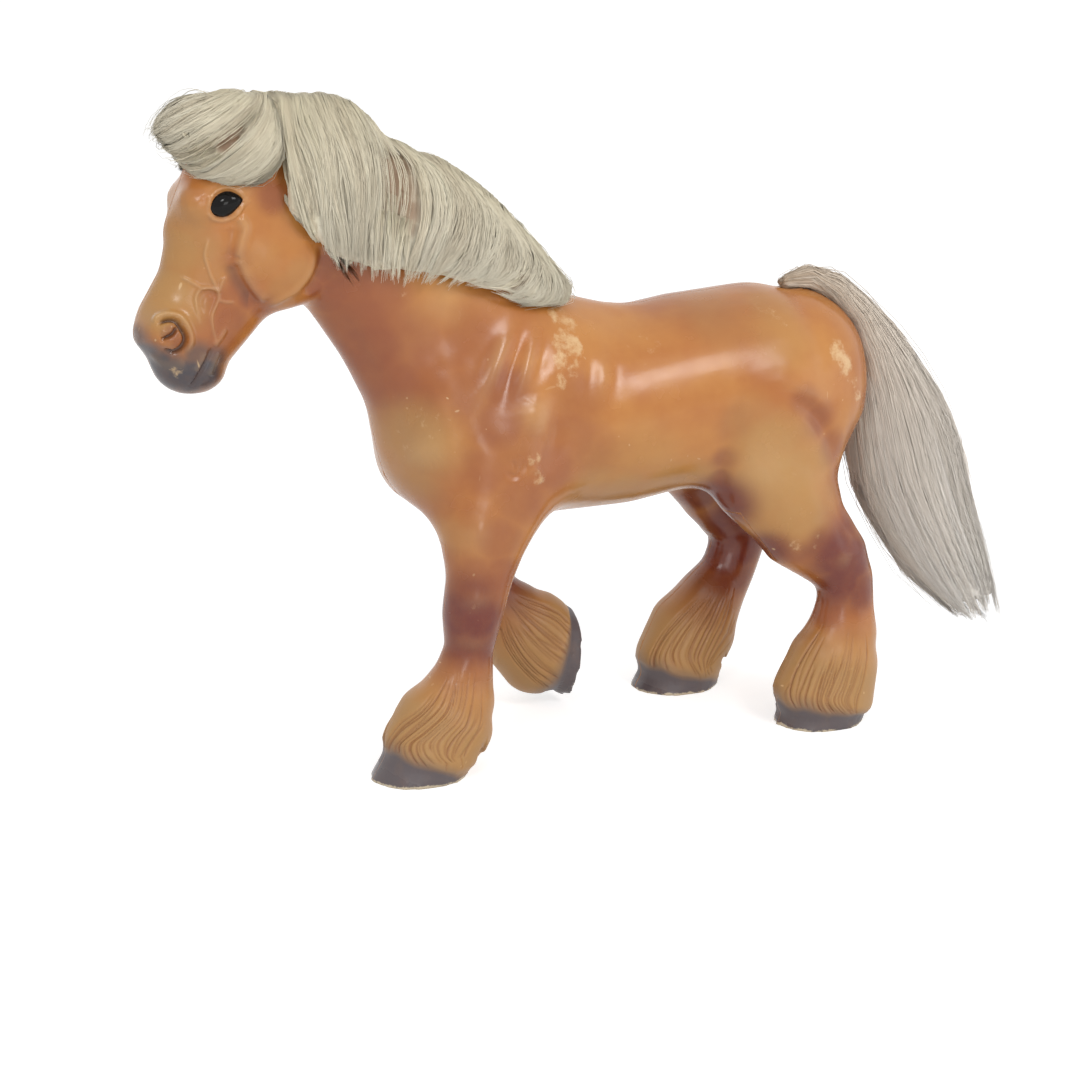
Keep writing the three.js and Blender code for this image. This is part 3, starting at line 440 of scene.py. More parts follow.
# Dent and lumps at the elbow, and the heel drawn in under its tuft.
DENTS = [
    ([(507, 470), (511, 476), (518, 476), (523, 468), (522, 458)], -0.7, 0.8),
    ([(513, 466), (516, 465)], -0.5, 1.6),
    ([(531, 458), (532, 464)], 0.4, 0.8),
    ([(529, 472), (536, 470), (541, 478), (535, 487)], 0.35, 0.7),
    ([(492, 752), (478, 758)], -1.6, 3.2),
    ([(735, 660), (722, 668)], -1.2, 3.0),
]
carve(DENTS, taper=0.3)

# Leg hair: below the knee and hock the legs are carved with fine combed hair that
# spreads over the foot and ends in soft locks on the hoof.
FEET = {
    # side, x and z down the middle of the foot in mm with the sole last, and the combed
    # lines of the photograph from front to back
    "left_fore": (LEFT, [(-44, 42), (-45, 33), (-46, 27), (-48, 20), (-52, 13), (-56, 7), (-59, 0)], [
        [(444, 680), (431, 692), (418, 707), (398, 721), (387, 737), (384, 751), (387, 766)],
        [(449, 678), (439, 704), (425, 720), (407, 734), (396, 745), (396, 755), (401, 765)],
        [(455, 680), (452, 704), (446, 717), (427, 734), (414, 744), (414, 755), (423, 767)],
        [(465, 680), (462, 704), (455, 720), (439, 736), (433, 745), (436, 755), (443, 763)],
        [(476, 681), (474, 707), (470, 726), (460, 739), (454, 750), (452, 758), (456, 762)],
        [(488, 684), (488, 711), (486, 727), (480, 739), (473, 748), (468, 755), (466, 759)]]),
    "left_hind": (LEFT, [(65, 40), (65, 33), (65, 25), (62, 16), (59, 7), (58, 0)], [
        [(816, 631), (799, 656), (787, 678), (782, 692), (787, 704), (795, 712)],
        [(827, 634), (815, 660), (807, 681), (802, 699), (807, 712), (815, 719)],
        [(838, 634), (832, 660), (825, 681), (820, 701), (825, 713), (832, 719)],
        [(848, 634), (845, 663), (838, 685), (831, 701), (838, 712), (847, 717)],
        [(859, 632), (857, 660), (852, 683), (846, 701), (850, 710), (854, 715)],
        [(868, 628), (870, 653), (866, 678), (861, 696), (859, 706), (858, 713)]]),
    "right_hind": (RIGHT, [(53, 39), (51, 32), (45, 25), (40, 16), (36, 8), (34, 0)], [
        [(699, 594), (674, 617), (656, 640), (647, 660), (650, 674)],
        [(706, 594), (683, 619), (666, 640), (658, 660), (665, 678)],
        [(713, 594), (695, 619), (681, 639), (674, 656), (682, 675)],
        [(722, 594), (709, 617), (699, 635), (691, 656), (698, 674)],
        [(731, 596), (725, 619), (716, 640), (707, 660), (706, 670)],
        [(741, 598), (739, 621), (732, 640), (720, 656), (712, 665)]]),
    "right_fore": (RIGHT, [(-25, 41), (-22, 34), (-17, 27), (-12, 21), (-7, 16), (0, 14)], [
        [(515, 593), (530, 598), (547, 602), (560, 606), (568, 614)],
        [(512, 597), (528, 608), (545, 618), (560, 628), (571, 640)],
        [(508, 602), (522, 620), (539, 638), (556, 652), (569, 661)],
        [(504, 607), (514, 628), (526, 648), (543, 666), (562, 677)],
        [(501, 611), (506, 634), (516, 654), (532, 673), (553, 688)],
        [(499, 613), (500, 636), (507, 654), (521, 672), (541, 690)]]),
}
LEG_LINE_Y = abs(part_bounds("left_fore_leg_cover")[0].y - MIDDLE_Y)
OWN_SIDE = 0.3
FOOT_REACH = 19 * MM
HAIR_REACH = 2.2 * MM
GROOVES = 23
GROOVE_DEPTH, GROOVE_WIDTH = 0.5 * MM, 0.26
LOCK_DEPTH, LOCK_WIDTH = 0.3 * MM, 0.4
GROOVES_PER_LOCK = 4
FAN_STEPS, FALL_STEPS = 50, 40
FAN_EDGE = 0.04
HOOF_SHOWS = 4.6 * MM
TIP_WAVE, TIP_WAVE_X, TIP_WAVE_Y = 0.7 * MM, 1.9 * MM, 2.3 * MM
TIP_EDGE = 0.9 * MM
TIP_STEP, TIP_FADE = 0.35 * MM, 3.5 * MM
OFF_FOOT = 30.0
foot_rng = np.random.default_rng(7)
hoof_line = np.full(len(skin_spots), OFF_FOOT)
foot_lift = np.zeros(len(skin_spots))
foot_groove_shade = np.zeros(len(skin_spots))


def combed_sheet(guides, tree, across_steps, along_steps):
    """A grid of places on a surface, spread evenly between combed lines on it."""
    rows = []
    for guide in guides:
        line = smooth_line(guide, 0.1)
        picks = np.linspace(0, len(line) - 1, along_steps)
        low = np.minimum(picks.astype(int), len(line) - 2)
        share = (picks - low)[:, None]
        line = line[low] * (1 - share) + line[low + 1] * share
        rows.append([on_surface(tree, p) for p in line])
    return spread(np.array(rows), across_steps)


def spread(rows, steps):
    """Lines spaced evenly between the given ones."""
    at = np.linspace(0, len(rows) - 1, steps)
    low = np.minimum(at.astype(int), len(rows) - 2)
    share = (at - low)[:, None, None]
    return rows[low] * (1 - share) + rows[low + 1] * share


NO_LENGTH = 1e-18
CELL_REACH = 0.8


def sheet_places(sheet, points, reach):
    """How far across and along a combed sheet each point lies, and which are near it."""
    wide, long = sheet.shape[:2]
    flat = sheet.reshape(-1, 3)
    find = KDTree(len(flat))
    for k, q in enumerate(flat):
        find.insert(q, k)
    find.balance()
    found = [find.find(q)[1:] for q in points]
    index = np.array([f[0] for f in found])
    gap = np.array([f[1] for f in found])
    i, j = index // long, index % long
    off = points - flat[index]

    over, under = np.minimum(i + 1, wide - 1), np.maximum(i - 1, 0)
    ahead, behind = np.minimum(j + 1, long - 1), np.maximum(j - 1, 0)
    sideways = (sheet[over, j] - sheet[under, j]) / (over - under)[:, None]
    onward = (sheet[i, ahead] - sheet[i, behind]) / (ahead - behind)[:, None]
    wide_wide, long_long = (sideways ** 2).sum(1), (onward ** 2).sum(1)
    skew = (sideways * onward).sum(1)
    on_wide, on_long = (off * sideways).sum(1), (off * onward).sum(1)
    whole = np.maximum(wide_wide * long_long - skew ** 2, NO_LENGTH)
    parts = [np.clip(part / whole, -CELL_REACH, CELL_REACH)
             for part in (on_wide * long_long - on_long * skew, on_long * wide_wide - on_wide * skew)]
    return (i + parts[0]) / (wide - 1), (j + parts[1]) / (long - 1), gap < reach


GROOVE_SHIFT = 0.3
GROOVE_START, GROOVE_END = (-0.1, 0.25), (0.8, 1.1)
GROOVE_RISES, GROOVE_FALLS = 0.15, 0.08
GROOVE_SWAY, GROOVE_WAVE, GROOVE_PHASE = 0.35, 5, 9
GROOVE_WEIGHT = (0.35, 1.0)


def groove(across, along, count, rng, width):
    """Fine grooves of uneven length and spacing that wander a little as they run."""
    depth = np.zeros(len(across))
    for middle in (np.arange(count) + rng.uniform(-GROOVE_SHIFT, GROOVE_SHIFT, count)) / count:
        start, end = rng.uniform(*GROOVE_START), rng.uniform(*GROOVE_END)
        sway = rng.normal(0, GROOVE_SWAY / count, 2)
        wave = np.sin(GROOVE_WAVE * along + GROOVE_PHASE * middle)
        centre = middle + sway[0] * wave + sway[1] * along
        ends = np.clip((along - start) / GROOVE_RISES, 0, 1)
        ends = ends * np.clip((end - along) / GROOVE_FALLS, 0, 1)
        line = np.exp(-((across - centre) / (width / count)) ** 2)
        depth = np.maximum(depth, line * ends * rng.uniform(*GROOVE_WEIGHT))
    return depth


def comb_foot(side, rows, guides):
    """Carves the hair of one foot and keeps how far each point is from its sole."""
    leg_y = MIDDLE_Y + side * LEG_LINE_Y
    line = smooth_line([(x * MM, leg_y, z * MM) for x, z in rows], 0.05)
    near = nearest(line, FOOT_REACH)[0]
    near = near[(skin_spots[near, 1] - MIDDLE_Y) * side > OWN_SIDE * LEG_LINE_Y]
    spot = skin_spots[near]
    k = np.clip(np.linalg.norm(spot[:, None] - line[None], axis=2).argmin(1), 1, len(line) - 2)
    ahead = line[k + 1] - line[k - 1]
    ahead /= np.linalg.norm(ahead, axis=1)[:, None]
    lengths = np.concatenate([[0], np.cumsum(np.linalg.norm(np.diff(line, axis=0), axis=1))])
    left = lengths[-1] - lengths[k] - ((spot - line[k]) * ahead).sum(1)
    foot_lift[near] = left / MM
    seen = combed_sheet(guides, skin_tree, FAN_STEPS, FALL_STEPS)
    hidden = seen.copy()
    hidden[..., 1] = 2 * leg_y - hidden[..., 1]
    hidden = np.array([[skin_tree.find_nearest(Vector(q))[0] for q in row] for row in hidden])
    tips = (HOOF_SHOWS
            + TIP_WAVE * np.sin(spot[:, 0] / TIP_WAVE_X) * np.cos(spot[:, 1] / TIP_WAVE_Y))
    over = np.clip((left - tips) / TIP_EDGE, 0, 1)
    hoof_line[near] = (left - tips) / MM
    for sheet in (seen, hidden):
        across, along, close = sheet_places(sheet, spot, HAIR_REACH)
        fine = groove(across, along, GROOVES, foot_rng, GROOVE_WIDTH)
        locks = groove(across, along, GROOVES // GROOVES_PER_LOCK, foot_rng, LOCK_WIDTH)
        amount = over * close * np.clip(across / FAN_EDGE, 0, 1)
        amount = amount * np.clip((1 - across) / FAN_EDGE, 0, 1)
        carving[near] -= amount * (GROOVE_DEPTH * fine + LOCK_DEPTH * locks)
        foot_groove_shade[near] = np.maximum(foot_groove_shade[near], amount * fine)
    carving[near] += over * TIP_STEP * np.exp(-np.clip(left - tips, 0, None) / TIP_FADE)


for side, rows, guides in FEET.values():
    comb_foot(side, rows, guides)

# The carved skin stands flat on the ground under the soles.
SOLE_SNAP = 0.35 * MM
co = skin_spots + skin_normals * carving[:, None]
co[:, 2] = np.where(co[:, 2] < SOLE_SNAP, 0, co[:, 2])

# The ears lie back under the forelock.
EAR_TIP = (190, 107)
EAR_REACH = 8 * MM
EAR_LAID_BACK = np.array([3.0, 0, -3.6]) * MM
for tip in on_both_sides(np.array([on_surface(skin_tree, EAR_TIP)])):
    gap = np.linalg.norm(skin_spots - tip, axis=1)
    co += EAR_LAID_BACK * np.exp(-(gap / EAR_REACH) ** 2)[:, None]
put_spots(skin, co)


# Airbrushed paint, with painted shade puffed into the nostrils: each coat is a set of soft puffs,
# kept as a value at every point of the skin. Where both sides were sprayed alike a puff is mirrored.
PUFF_EDGE, PUFF_SOFT = 1.3, 0.9
PUFF_SQUEEZE = 0.45
coats = {}


def puffed(points, tree, puffs, mirrored=True):
    """Soft round puffs, each a point of the photograph, a radius in mm and a strength."""
    mask = np.zeros(len(points))
    for x, y, radius, strength in puffs:
        centre = np.array([on_surface(tree, (x, y))])
        for spot in on_both_sides(centre) if mirrored else [centre]:
            off = (points - spot[0]) * (1, PUFF_SQUEEZE, 1)
            gap = PUFF_EDGE - np.linalg.norm(off, axis=1) / (radius * MM)
            gap = np.clip(gap / PUFF_SOFT, 0, 1)
            mask = np.maximum(mask, strength * gap ** 2 * (3 - 2 * gap))
    return mask


PUFFS = [
    # coat, whether the other side mirrors it, and its puffs: x, y, radius and strength
    ("umber", False, [
        (462, 618, 9, 1), (480, 622, 9, 1), (466, 640, 8, 0.9), (486, 642, 7, 0.9), (474, 598, 7, 0.7),
        (838, 556, 9, 1), (856, 560, 9, 1), (842, 582, 8, 1), (862, 590, 7, 0.9), (824, 548, 6, 0.7),
        (848, 536, 6, 0.7), (718, 500, 9, 1), (732, 520, 10, 1), (742, 545, 10, 1), (722, 555, 9, 1),
        (714, 578, 8, 0.8), (740, 572, 7, 0.8), (700, 496, 7, 0.9), (765, 548, 6, 0.9),
        (514, 590, 7, 0.9), (522, 583, 6, 0.9)]),
    ("pink", True, [
        (184, 106, 4, 1), (196, 108, 4, 1), (208, 112, 4, 1)]),
    # painted shade inside the nostril, darker in its hollow
    ("umber", True, [
        (172, 334, 2.6, 0.55), (178, 342, 2, 0.5)]),
    ("red", True, [
        (340, 262, 6, 0.9), (328, 262, 3, 0.9), (325, 276, 3, 0.9), (316, 289, 3, 0.9),
        (352, 285, 9, 0.8), (338, 290, 6, 0.9), (356, 322, 12, 0.8), (368, 350, 12, 0.9),
        (402, 400, 12, 0.65), (425, 500, 9, 0.5), (440, 480, 9, 0.4), (690, 296, 12, 0.45),
        (660, 296, 10, 0.35), (740, 296, 8, 0.25), (475, 535, 9, 0.35), (760, 352, 9, 0.2),
        (420, 380, 10, 0.5), (384, 385, 12, 0.8), (404, 392, 11, 0.6), (330, 302, 5, 0.9),
        (372, 300, 12, 0.65), (396, 345, 14, 0.6), (470, 345, 10, 0.5), (480, 395, 10, 0.6),
        (505, 392, 8, 0.8), (500, 425, 9, 0.8), (520, 445, 9, 0.6), (555, 465, 9, 0.6),
        (572, 440, 10, 0.5), (578, 400, 8, 0.4), (590, 455, 8, 0.4), (488, 470, 9, 0.5),
        (520, 500, 9, 0.6), (500, 540, 8, 0.7), (478, 528, 10, 0.35), (500, 575, 7, 0.8),
        (460, 570, 9, 0.5), (476, 578, 8, 0.7), (806, 402, 5, 0.6), (818, 420, 6, 0.7),
        (832, 448, 6, 0.7), (842, 480, 7, 0.6), (846, 510, 7, 0.7), (735, 425, 6, 0.3),
        (725, 460, 4, 0.7), (720, 478, 3, 1), (860, 440, 6, 0.5), (868, 400, 5, 0.5),
        (830, 530, 7, 0.7), (770, 545, 6, 0.6), (795, 552, 5, 0.7), (241, 288, 5, 0.6),
        (250, 299, 4, 0.8), (262, 306, 4, 0.7), (230, 322, 6, 0.7), (222, 340, 6, 0.7),
        (236, 262, 4, 0.5), (270, 180, 6, 0.5), (274, 196, 5, 0.8), (216, 300, 5, 0.5),
        (205, 330, 6, 0.5)]),
    ("red", False, [
        (455, 670, 7, 0.6), (482, 668, 7, 0.6), (850, 622, 6, 0.4), (826, 612, 6, 0.8),
        (700, 602, 8, 0.7), (680, 620, 6, 0.6), (728, 596, 7, 0.6), (520, 605, 7, 0.8),
        (512, 622, 6, 0.7), (806, 640, 5, 0.5), (545, 612, 7, 0.5)]),
    ("tan", True, [
        (416, 440, 11, 0.8), (402, 470, 9, 0.6), (450, 535, 5, 0.3), (590, 492, 10, 0.7),
        (620, 494, 10, 0.8), (660, 488, 10, 0.8), (692, 482, 8, 0.7), (640, 462, 12, 0.4),
        (600, 470, 9, 0.3), (752, 420, 8, 0.4), (770, 450, 12, 0.8), (762, 490, 12, 0.9),
        (790, 480, 12, 0.9), (800, 512, 11, 0.9), (772, 520, 9, 0.8), (812, 470, 8, 0.7),
        (822, 500, 7, 0.6), (780, 335, 10, 0.4), (775, 310, 8, 0.5), (720, 320, 10, 0.3),
        (175, 250, 8, 0.9), (168, 290, 8, 1), (158, 312, 6, 1), (182, 306, 7, 0.8), (183, 225, 8, 0.7),
        (196, 250, 7, 0.7), (205, 272, 6, 0.5), (176, 205, 6, 0.5), (262, 262, 6, 0.3),
        (286, 290, 6, 0.4), (300, 276, 5, 0.5)]),
    ("grey", True, [
        (134, 338, 4.5, 0.8), (142, 352, 5.5, 1), (156, 366, 6.5, 1), (172, 376, 7, 1),
        (190, 378, 7, 1), (206, 374, 6, 1), (214, 362, 4.5, 0.8), (198, 358, 4.5, 0.8)]),
    ("worn", False, [
        (558, 314, 4, 0.6), (568, 322, 3.4, 0.6), (562, 340, 4, 0.75), (572, 346, 4, 0.75),
        (564, 360, 4, 0.75), (573, 368, 3.6, 0.7), (563, 380, 3.4, 0.65), (838, 352, 3.6, 0.65),
        (846, 366, 3.8, 0.7), (853, 380, 3.4, 0.65), (858, 394, 2.4, 0.5), (798, 545, 3, 0.4),
        (818, 540, 3, 0.4), (536, 458, 3, 0.6), (539, 476, 3, 0.5), (650, 345, 5, 0.3),
        (640, 370, 6, 0.25), (425, 425, 7, 0.3), (416, 438, 6, 0.3), (770, 312, 6, 0.3),
        (178, 374, 2.4, 0.5), (600, 500, 6, 0.2), (180, 320, 2.5, 0.3), (400, 300, 6, 0.2),
        (478, 612, 3, 0.3)]),
]
for coat, mirrored, puffs in PUFFS:
    before = coats.get(coat, np.zeros(len(skin_spots)))
    coats[coat] = np.maximum(before, puffed(skin_spots, skin_tree, puffs, mirrored))

# The coats that follow the form: pale leg hair and dark hooves, worn rims, painted shade in the
# fine grooves of the leg hair and in the deep grooves of the face, and paler raised ridges.
FEATHER_TOP, FEATHER_FADE = 32, 16
HOOF_FULL, HOOF_FADE, HOOF_CURVE = 0.8, 4.2, 1.4
RIM_HEIGHT = 1.8 * MM
FACE_SHADE_DEPTH, FACE_SHADE_START = 1.0 * MM, 0.25
RAISED_HEIGHT = 0.8 * MM
on_face = skin_spots[:, 0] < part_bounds("left_eye")[1].x
coats["feather"] = np.clip((FEATHER_TOP - foot_lift) / FEATHER_FADE, 0, 1) * (foot_lift > 0)
coats["hoof"] = np.clip(HOOF_FULL - hoof_line / HOOF_FADE, 0, 1) ** HOOF_CURVE
coats["rim"] = np.clip(1 - skin_spots[:, 2] / RIM_HEIGHT, 0, 1)
# Painted shade in the fine grooves of the leg hair, as deep as the grooves are.
coats["cavity"] = foot_groove_shade
# Painted shade in the deep grooves of the face: nostrils, mouth and lid lines.
coats["slot"] = np.clip(-carving / FACE_SHADE_DEPTH - FACE_SHADE_START, 0, 1) * on_face
coats["raised"] = np.clip(carving / RAISED_HEIGHT, 0, 1)

# The veins, lids and folds of the face are painted paler along their raised lines, as a painted
# highlight.
VEIN_WIDEST = 0.65
VEIN_HIGHLIGHT_WIDTH, VEIN_REACH = 0.4 * MM, 3 * MM
coats["vein"] = np.zeros(len(skin_spots))
for pixels, height, width in FACE_LINES:
    if height > 0 and width < VEIN_WIDEST:
        line = np.array([on_surface(skin_tree, q) for q in smooth_line(pixels)])
        for run in on_both_sides(line):
            near, gap, along = nearest(run, VEIN_REACH)
            crest_highlight = np.exp(-(gap / VEIN_HIGHLIGHT_WIDTH) ** 2)
            coats["vein"][near] = np.maximum(coats["vein"][near], crest_highlight)

# Parting: the skin is cut into the two sides and the four inner leg halves, in the
# planes in which the moulded pieces meet. The two large sides are then thinned a little.
SIDE_KEPT = 0.5
COVER_PLAY = 6 * MM
FAR = 1.0


def part_box(name, lo, hi):
    """A plain box to cut with."""
    bm = bmesh.new()
    bmesh.ops.create_cube(bm, size=1)
    bmesh.ops.scale(bm, verts=bm.verts, vec=Vector(hi) - Vector(lo))
    bmesh.ops.translate(bm, verts=bm.verts, vec=(Vector(lo) + Vector(hi)) / 2)
    return added(name, mesh_of(bm, name))


def keep_value(data, label, values):
    """Keeps a value at every point of a mesh, under a name that its material reads."""
    data.attributes.new(label, "FLOAT", "POINT").data.foreach_set("value", values)


skin_data = mesh_of(skin, "skin")
for coat, mask in coats.items():
    keep_value(skin_data, coat, mask)


def parted(name, cuts, kept):
    """The skin cut by boxes, each taken away or kept alone, with a share of its faces."""
    piece = added(name, skin_data.copy())
    for operation, cutter in cuts:
        cut = piece.modifiers.new("cut", "BOOLEAN")
        cut.solver = "MANIFOLD"
        cut.operation = operation
        cut.object = cutter
    if kept < 1:
        thinned = piece.modifiers.new("thinned", "DECIMATE")
        thinned.ratio = kept
    evaluated = piece.evaluated_get(bpy.context.evaluated_depsgraph_get())
    data = bpy.data.meshes.new_from_object(evaluated)
    piece.modifiers.clear()
    piece.data = data
    data.shade_smooth()
    return piece


def cover_box(node):
    """The room of an inner leg half, out to the plane in which it meets its side."""
    lo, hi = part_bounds(node)
    outer = lo.y if lo.y + hi.y < 2 * MIDDLE_Y else hi.y
    return part_box(node + "_box", (lo.x - COVER_PLAY, min(outer, MIDDLE_Y), -FAR),
                    (hi.x + COVER_PLAY, max(outer, MIDDLE_Y), hi.z))


boxes = {node: cover_box(node) for node in LEG_COVERS}
boxes["left"] = part_box("left_box", (-FAR, -FAR, -FAR), (FAR, MIDDLE_Y, FAR))
boxes["right"] = part_box("right_box", (-FAR, MIDDLE_Y, -FAR), (FAR, FAR, FAR))
body_pieces = []
for node in SKIN_PIECES:
    hand = node.split("_")[0]
    if node in boxes:
        cuts, kept = [("INTERSECT", boxes[node])], 1
    else:
        cuts, kept = [("INTERSECT", boxes[hand])], SIDE_KEPT
        cuts += [("DIFFERENCE", boxes[n]) for n in LEG_COVERS if n.startswith(hand)]
    piece = parted(node.replace("_body_shell", "_side").replace("_cover", "_half"), cuts, kept)
    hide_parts(node)
    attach(piece, "root")
    body_pieces.append(piece)
for box in boxes.values():
    bpy.data.objects.remove(box)

PAINT_COLOURS = {
    "orange": (0.47, 0.158, 0.034, 1),
    "gold": (0.58, 0.245, 0.058, 1),
    "red": (0.27, 0.066, 0.024, 1),
    "tan": (0.48, 0.262, 0.084, 1),
    "umber": (0.165, 0.027, 0.015, 1),
    "feather": (0.45, 0.242, 0.084, 1),
    "hoof": (0.115, 0.092, 0.095, 1),
    "grey": (0.058, 0.052, 0.062, 1),
    # painted shade for the grooves of the leg hair
    "cavity": (0.24, 0.075, 0.025, 1),
    "raised": (0.70, 0.48, 0.24, 1),
    # painted highlight along the raised veins, lids and folds
    "vein": (0.72, 0.45, 0.24, 1),
    "worn": (0.80, 0.55, 0.29, 1),
    "bare": (0.82, 0.68, 0.47, 1),
    # painted shade for the deep grooves of the face
    "slot": (0.085, 0.042, 0.03, 1),
    "pink": (0.46, 0.27, 0.19, 1),
}
COAT_STRENGTH = {"red": 0.9, "tan": 0.8, "umber": 0.95, "feather": 0.95, "hoof": 1.0,
                 "grey": 0.95, "cavity": 0.6, "raised": 0.22, "vein": 0.14,
                 "slot": 0.85, "pink": 0.8}


def make_group(name, inputs, outputs):
    """An empty node group with the given inputs (name: default) and outputs (name: kind)."""
    group = bpy.data.node_groups.new(name, "ShaderNodeTree")
    for label, value in inputs.items():
        kind = "NodeSocketVector" if value is None else "NodeSocketFloat"
        socket = group.interface.new_socket(label, in_out="INPUT", socket_type=kind)
        if value is not None:
            socket.default_value = value
    for label, kind in outputs.items():
        group.interface.new_socket(label, in_out="OUTPUT", socket_type=kind)
    return group, group.nodes.new("NodeGroupInput"), group.nodes.new("NodeGroupOutput")


def maths(tree, operation, *values, clamp=False):
    """The result of a sum of values and sockets."""
    node = add_node(tree, "ShaderNodeMath", settings={"operation": operation, "use_clamp": clamp},
                    **{f"in{k}": value for k, value in enumerate(values)})
    return node.outputs[0]


def ramp(tree, value, low, high):
    """0 below one value and 1 above another, smooth between them."""
    node = add_node(tree, "ShaderNodeMapRange", settings={"interpolation_type": "SMOOTHSTEP"},
                    Value=value, From_Min=low, From_Max=high)
    return node.outputs[0]


def mixed(tree, factor, under, over):
    """One colour laid over another."""
    node = add_node(tree, "ShaderNodeMix", settings={"data_type": "RGBA"},
                    Factor=factor, A=under, B=over)
    return node.outputs["Result"]


# Wear: an old toy's paint has pale scratches and chips, which a group makes as a mask.
BEND_SCALE, BEND = 60.0, (0.012, 0.012, 0.012)
FLECK_TURNS = [((0.4, 0.2, 0.5), (1, 1, 0.16)), ((0.1, 1.1, 0.3), (1, 0.2, 1)),
               ((0.7, 0.5, 1.4), (0.18, 1, 1))]
FLECK_SCALE, FLECK_RIM, FLECK_CORE = 420.0, 0.16, 0.09
FLECK_NONE, FLECK_SURE = 0.90, 0.93
AREA_SCALE, AREA_LEVEL, AREA_FULL = 38.0, 0.72, 0.62
RAGGED_SCALE = 210.0
wear, wear_in, wear_out = make_group("paint_wear", {"Place": None, "Scale": 1.0, "Amount": 0.5},
                                     {"Flecks": "NodeSocketFloat", "Edge": "NodeSocketFloat"})
size = wear_in.outputs["Scale"]
bend = add_node(wear, "ShaderNodeTexNoise", Vector=wear_in.outputs["Place"],
                Scale=maths(wear, "MULTIPLY", size, BEND_SCALE), Detail=2.0)
bent = add_node(wear, "ShaderNodeVectorMath", settings={"operation": "MULTIPLY_ADD"},
                in0=bend.outputs["Color"], in1=BEND, in2=wear_in.outputs["Place"])
marks = []
for turn, squash in FLECK_TURNS:
    turned = add_node(wear, "ShaderNodeMapping", Vector=bent.outputs[0], Rotation=turn,
                      Scale=squash)
    cells = add_node(wear, "ShaderNodeTexVoronoi", Vector=turned.outputs[0],
                     Scale=maths(wear, "MULTIPLY", size, FLECK_SCALE))
    near = ramp(wear, cells.outputs["Distance"], FLECK_RIM, FLECK_CORE)
    chance = add_node(wear, "ShaderNodeSeparateColor", Color=cells.outputs["Color"])
    few = ramp(wear, chance.outputs[0], FLECK_NONE, FLECK_SURE)
    marks.append(maths(wear, "MULTIPLY", near, few))
any_mark = maths(wear, "MAXIMUM", maths(wear, "MAXIMUM", marks[0], marks[1]), marks[2])
where = add_node(wear, "ShaderNodeTexNoise", Vector=wear_in.outputs["Place"],
                 Scale=maths(wear, "MULTIPLY", size, AREA_SCALE), Detail=2.0)
least = maths(wear, "SUBTRACT", AREA_LEVEL, wear_in.outputs["Amount"])
where = ramp(wear, where.outputs[0], least, AREA_FULL)
wear.links.new(maths(wear, "MULTIPLY", any_mark, where), wear_out.inputs["Flecks"])
ragged = add_node(wear, "ShaderNodeTexNoise", Vector=wear_in.outputs["Place"],
                  Scale=maths(wear, "MULTIPLY", size, RAGGED_SCALE), Detail=6.0, Roughness=0.72)
wear.links.new(ragged.outputs[0], wear_out.inputs["Edge"])

# The paint itself: an orange ground, blotched with gold, under the coats, the worn
# patches, the flecks and the chips along the rims of the hooves.
COAT_GRAIN, COAT_LEAST = 0.25, 0.88
GOLD_FROM, GOLD_TO = 0.3, 0.72
WORN_RAGGED, WORN_FROM, WORN_TO, WORN_SHOWS = 2.2, 1.5, 2.05, 0.75
FLECKS_SHOW, FLECK_DEPTH = 0.6, 1.5
CHIP_RAGGED, CHIP_FROM, CHIP_TO, CHIP_SHOWS = 1.6, 1.42, 1.62, 0.75
CHIP_RIM = 0.2
SHEEN_VARIES, SHEEN_LEAST, FEATHER_MATT = 0.16, 0.17, 0.22
body_paint, paint, shader = new_material("body_paint")
shader.inputs["Specular IOR Level"].default_value = 0.5
place = add_node(paint, "ShaderNodeTexCoord").outputs["Object"]
worn_marks = paint.nodes.new("ShaderNodeGroup")
worn_marks.node_tree = wear
paint.links.new(place, worn_marks.inputs["Place"])
worn_marks.inputs["Scale"].default_value = 1.0
worn_marks.inputs["Amount"].default_value = 0.3


def coat_mask(coat):
    """How thick a coat lies at each place."""
    return add_node(paint, "ShaderNodeAttribute", settings={"attribute_name": coat}).outputs["Fac"]


blotch = add_node(paint, "ShaderNodeTexNoise", Vector=place, Scale=42.0, Detail=4.0,
                  Roughness=0.55)
mottle = add_node(paint, "ShaderNodeTexNoise", Vector=place, Scale=260.0, Detail=3.0)
colour = mixed(paint, ramp(paint, blotch.outputs[0], GOLD_FROM, GOLD_TO),
               PAINT_COLOURS["orange"], PAINT_COLOURS["gold"])
for coat, strength in COAT_STRENGTH.items():
    grainy = maths(paint, "MULTIPLY_ADD", mottle.outputs[0], COAT_GRAIN, COAT_LEAST)
    amount = maths(paint, "MULTIPLY", maths(paint, "MULTIPLY", coat_mask(coat), strength), grainy,
                   clamp=True)
    colour = mixed(paint, amount, colour, PAINT_COLOURS[coat])
patch = maths(paint, "MULTIPLY_ADD", worn_marks.outputs["Edge"], WORN_RAGGED,
              coat_mask("worn"))
patch = maths(paint, "MULTIPLY", ramp(paint, patch, WORN_FROM, WORN_TO), WORN_SHOWS)
colour = mixed(paint, patch, colour, PAINT_COLOURS["worn"])
flecks = maths(paint, "MULTIPLY", worn_marks.outputs["Flecks"], FLECKS_SHOW)
colour = mixed(paint, flecks, colour, PAINT_COLOURS["worn"])
chips = maths(paint, "MULTIPLY_ADD", worn_marks.outputs["Edge"], CHIP_RAGGED, coat_mask("rim"))
chips = maths(paint, "MULTIPLY", ramp(paint, chips, CHIP_FROM, CHIP_TO),
              ramp(paint, coat_mask("rim"), 0.0, CHIP_RIM))
colour = mixed(paint, maths(paint, "MULTIPLY", chips, CHIP_SHOWS), colour,
               PAINT_COLOURS["bare"])
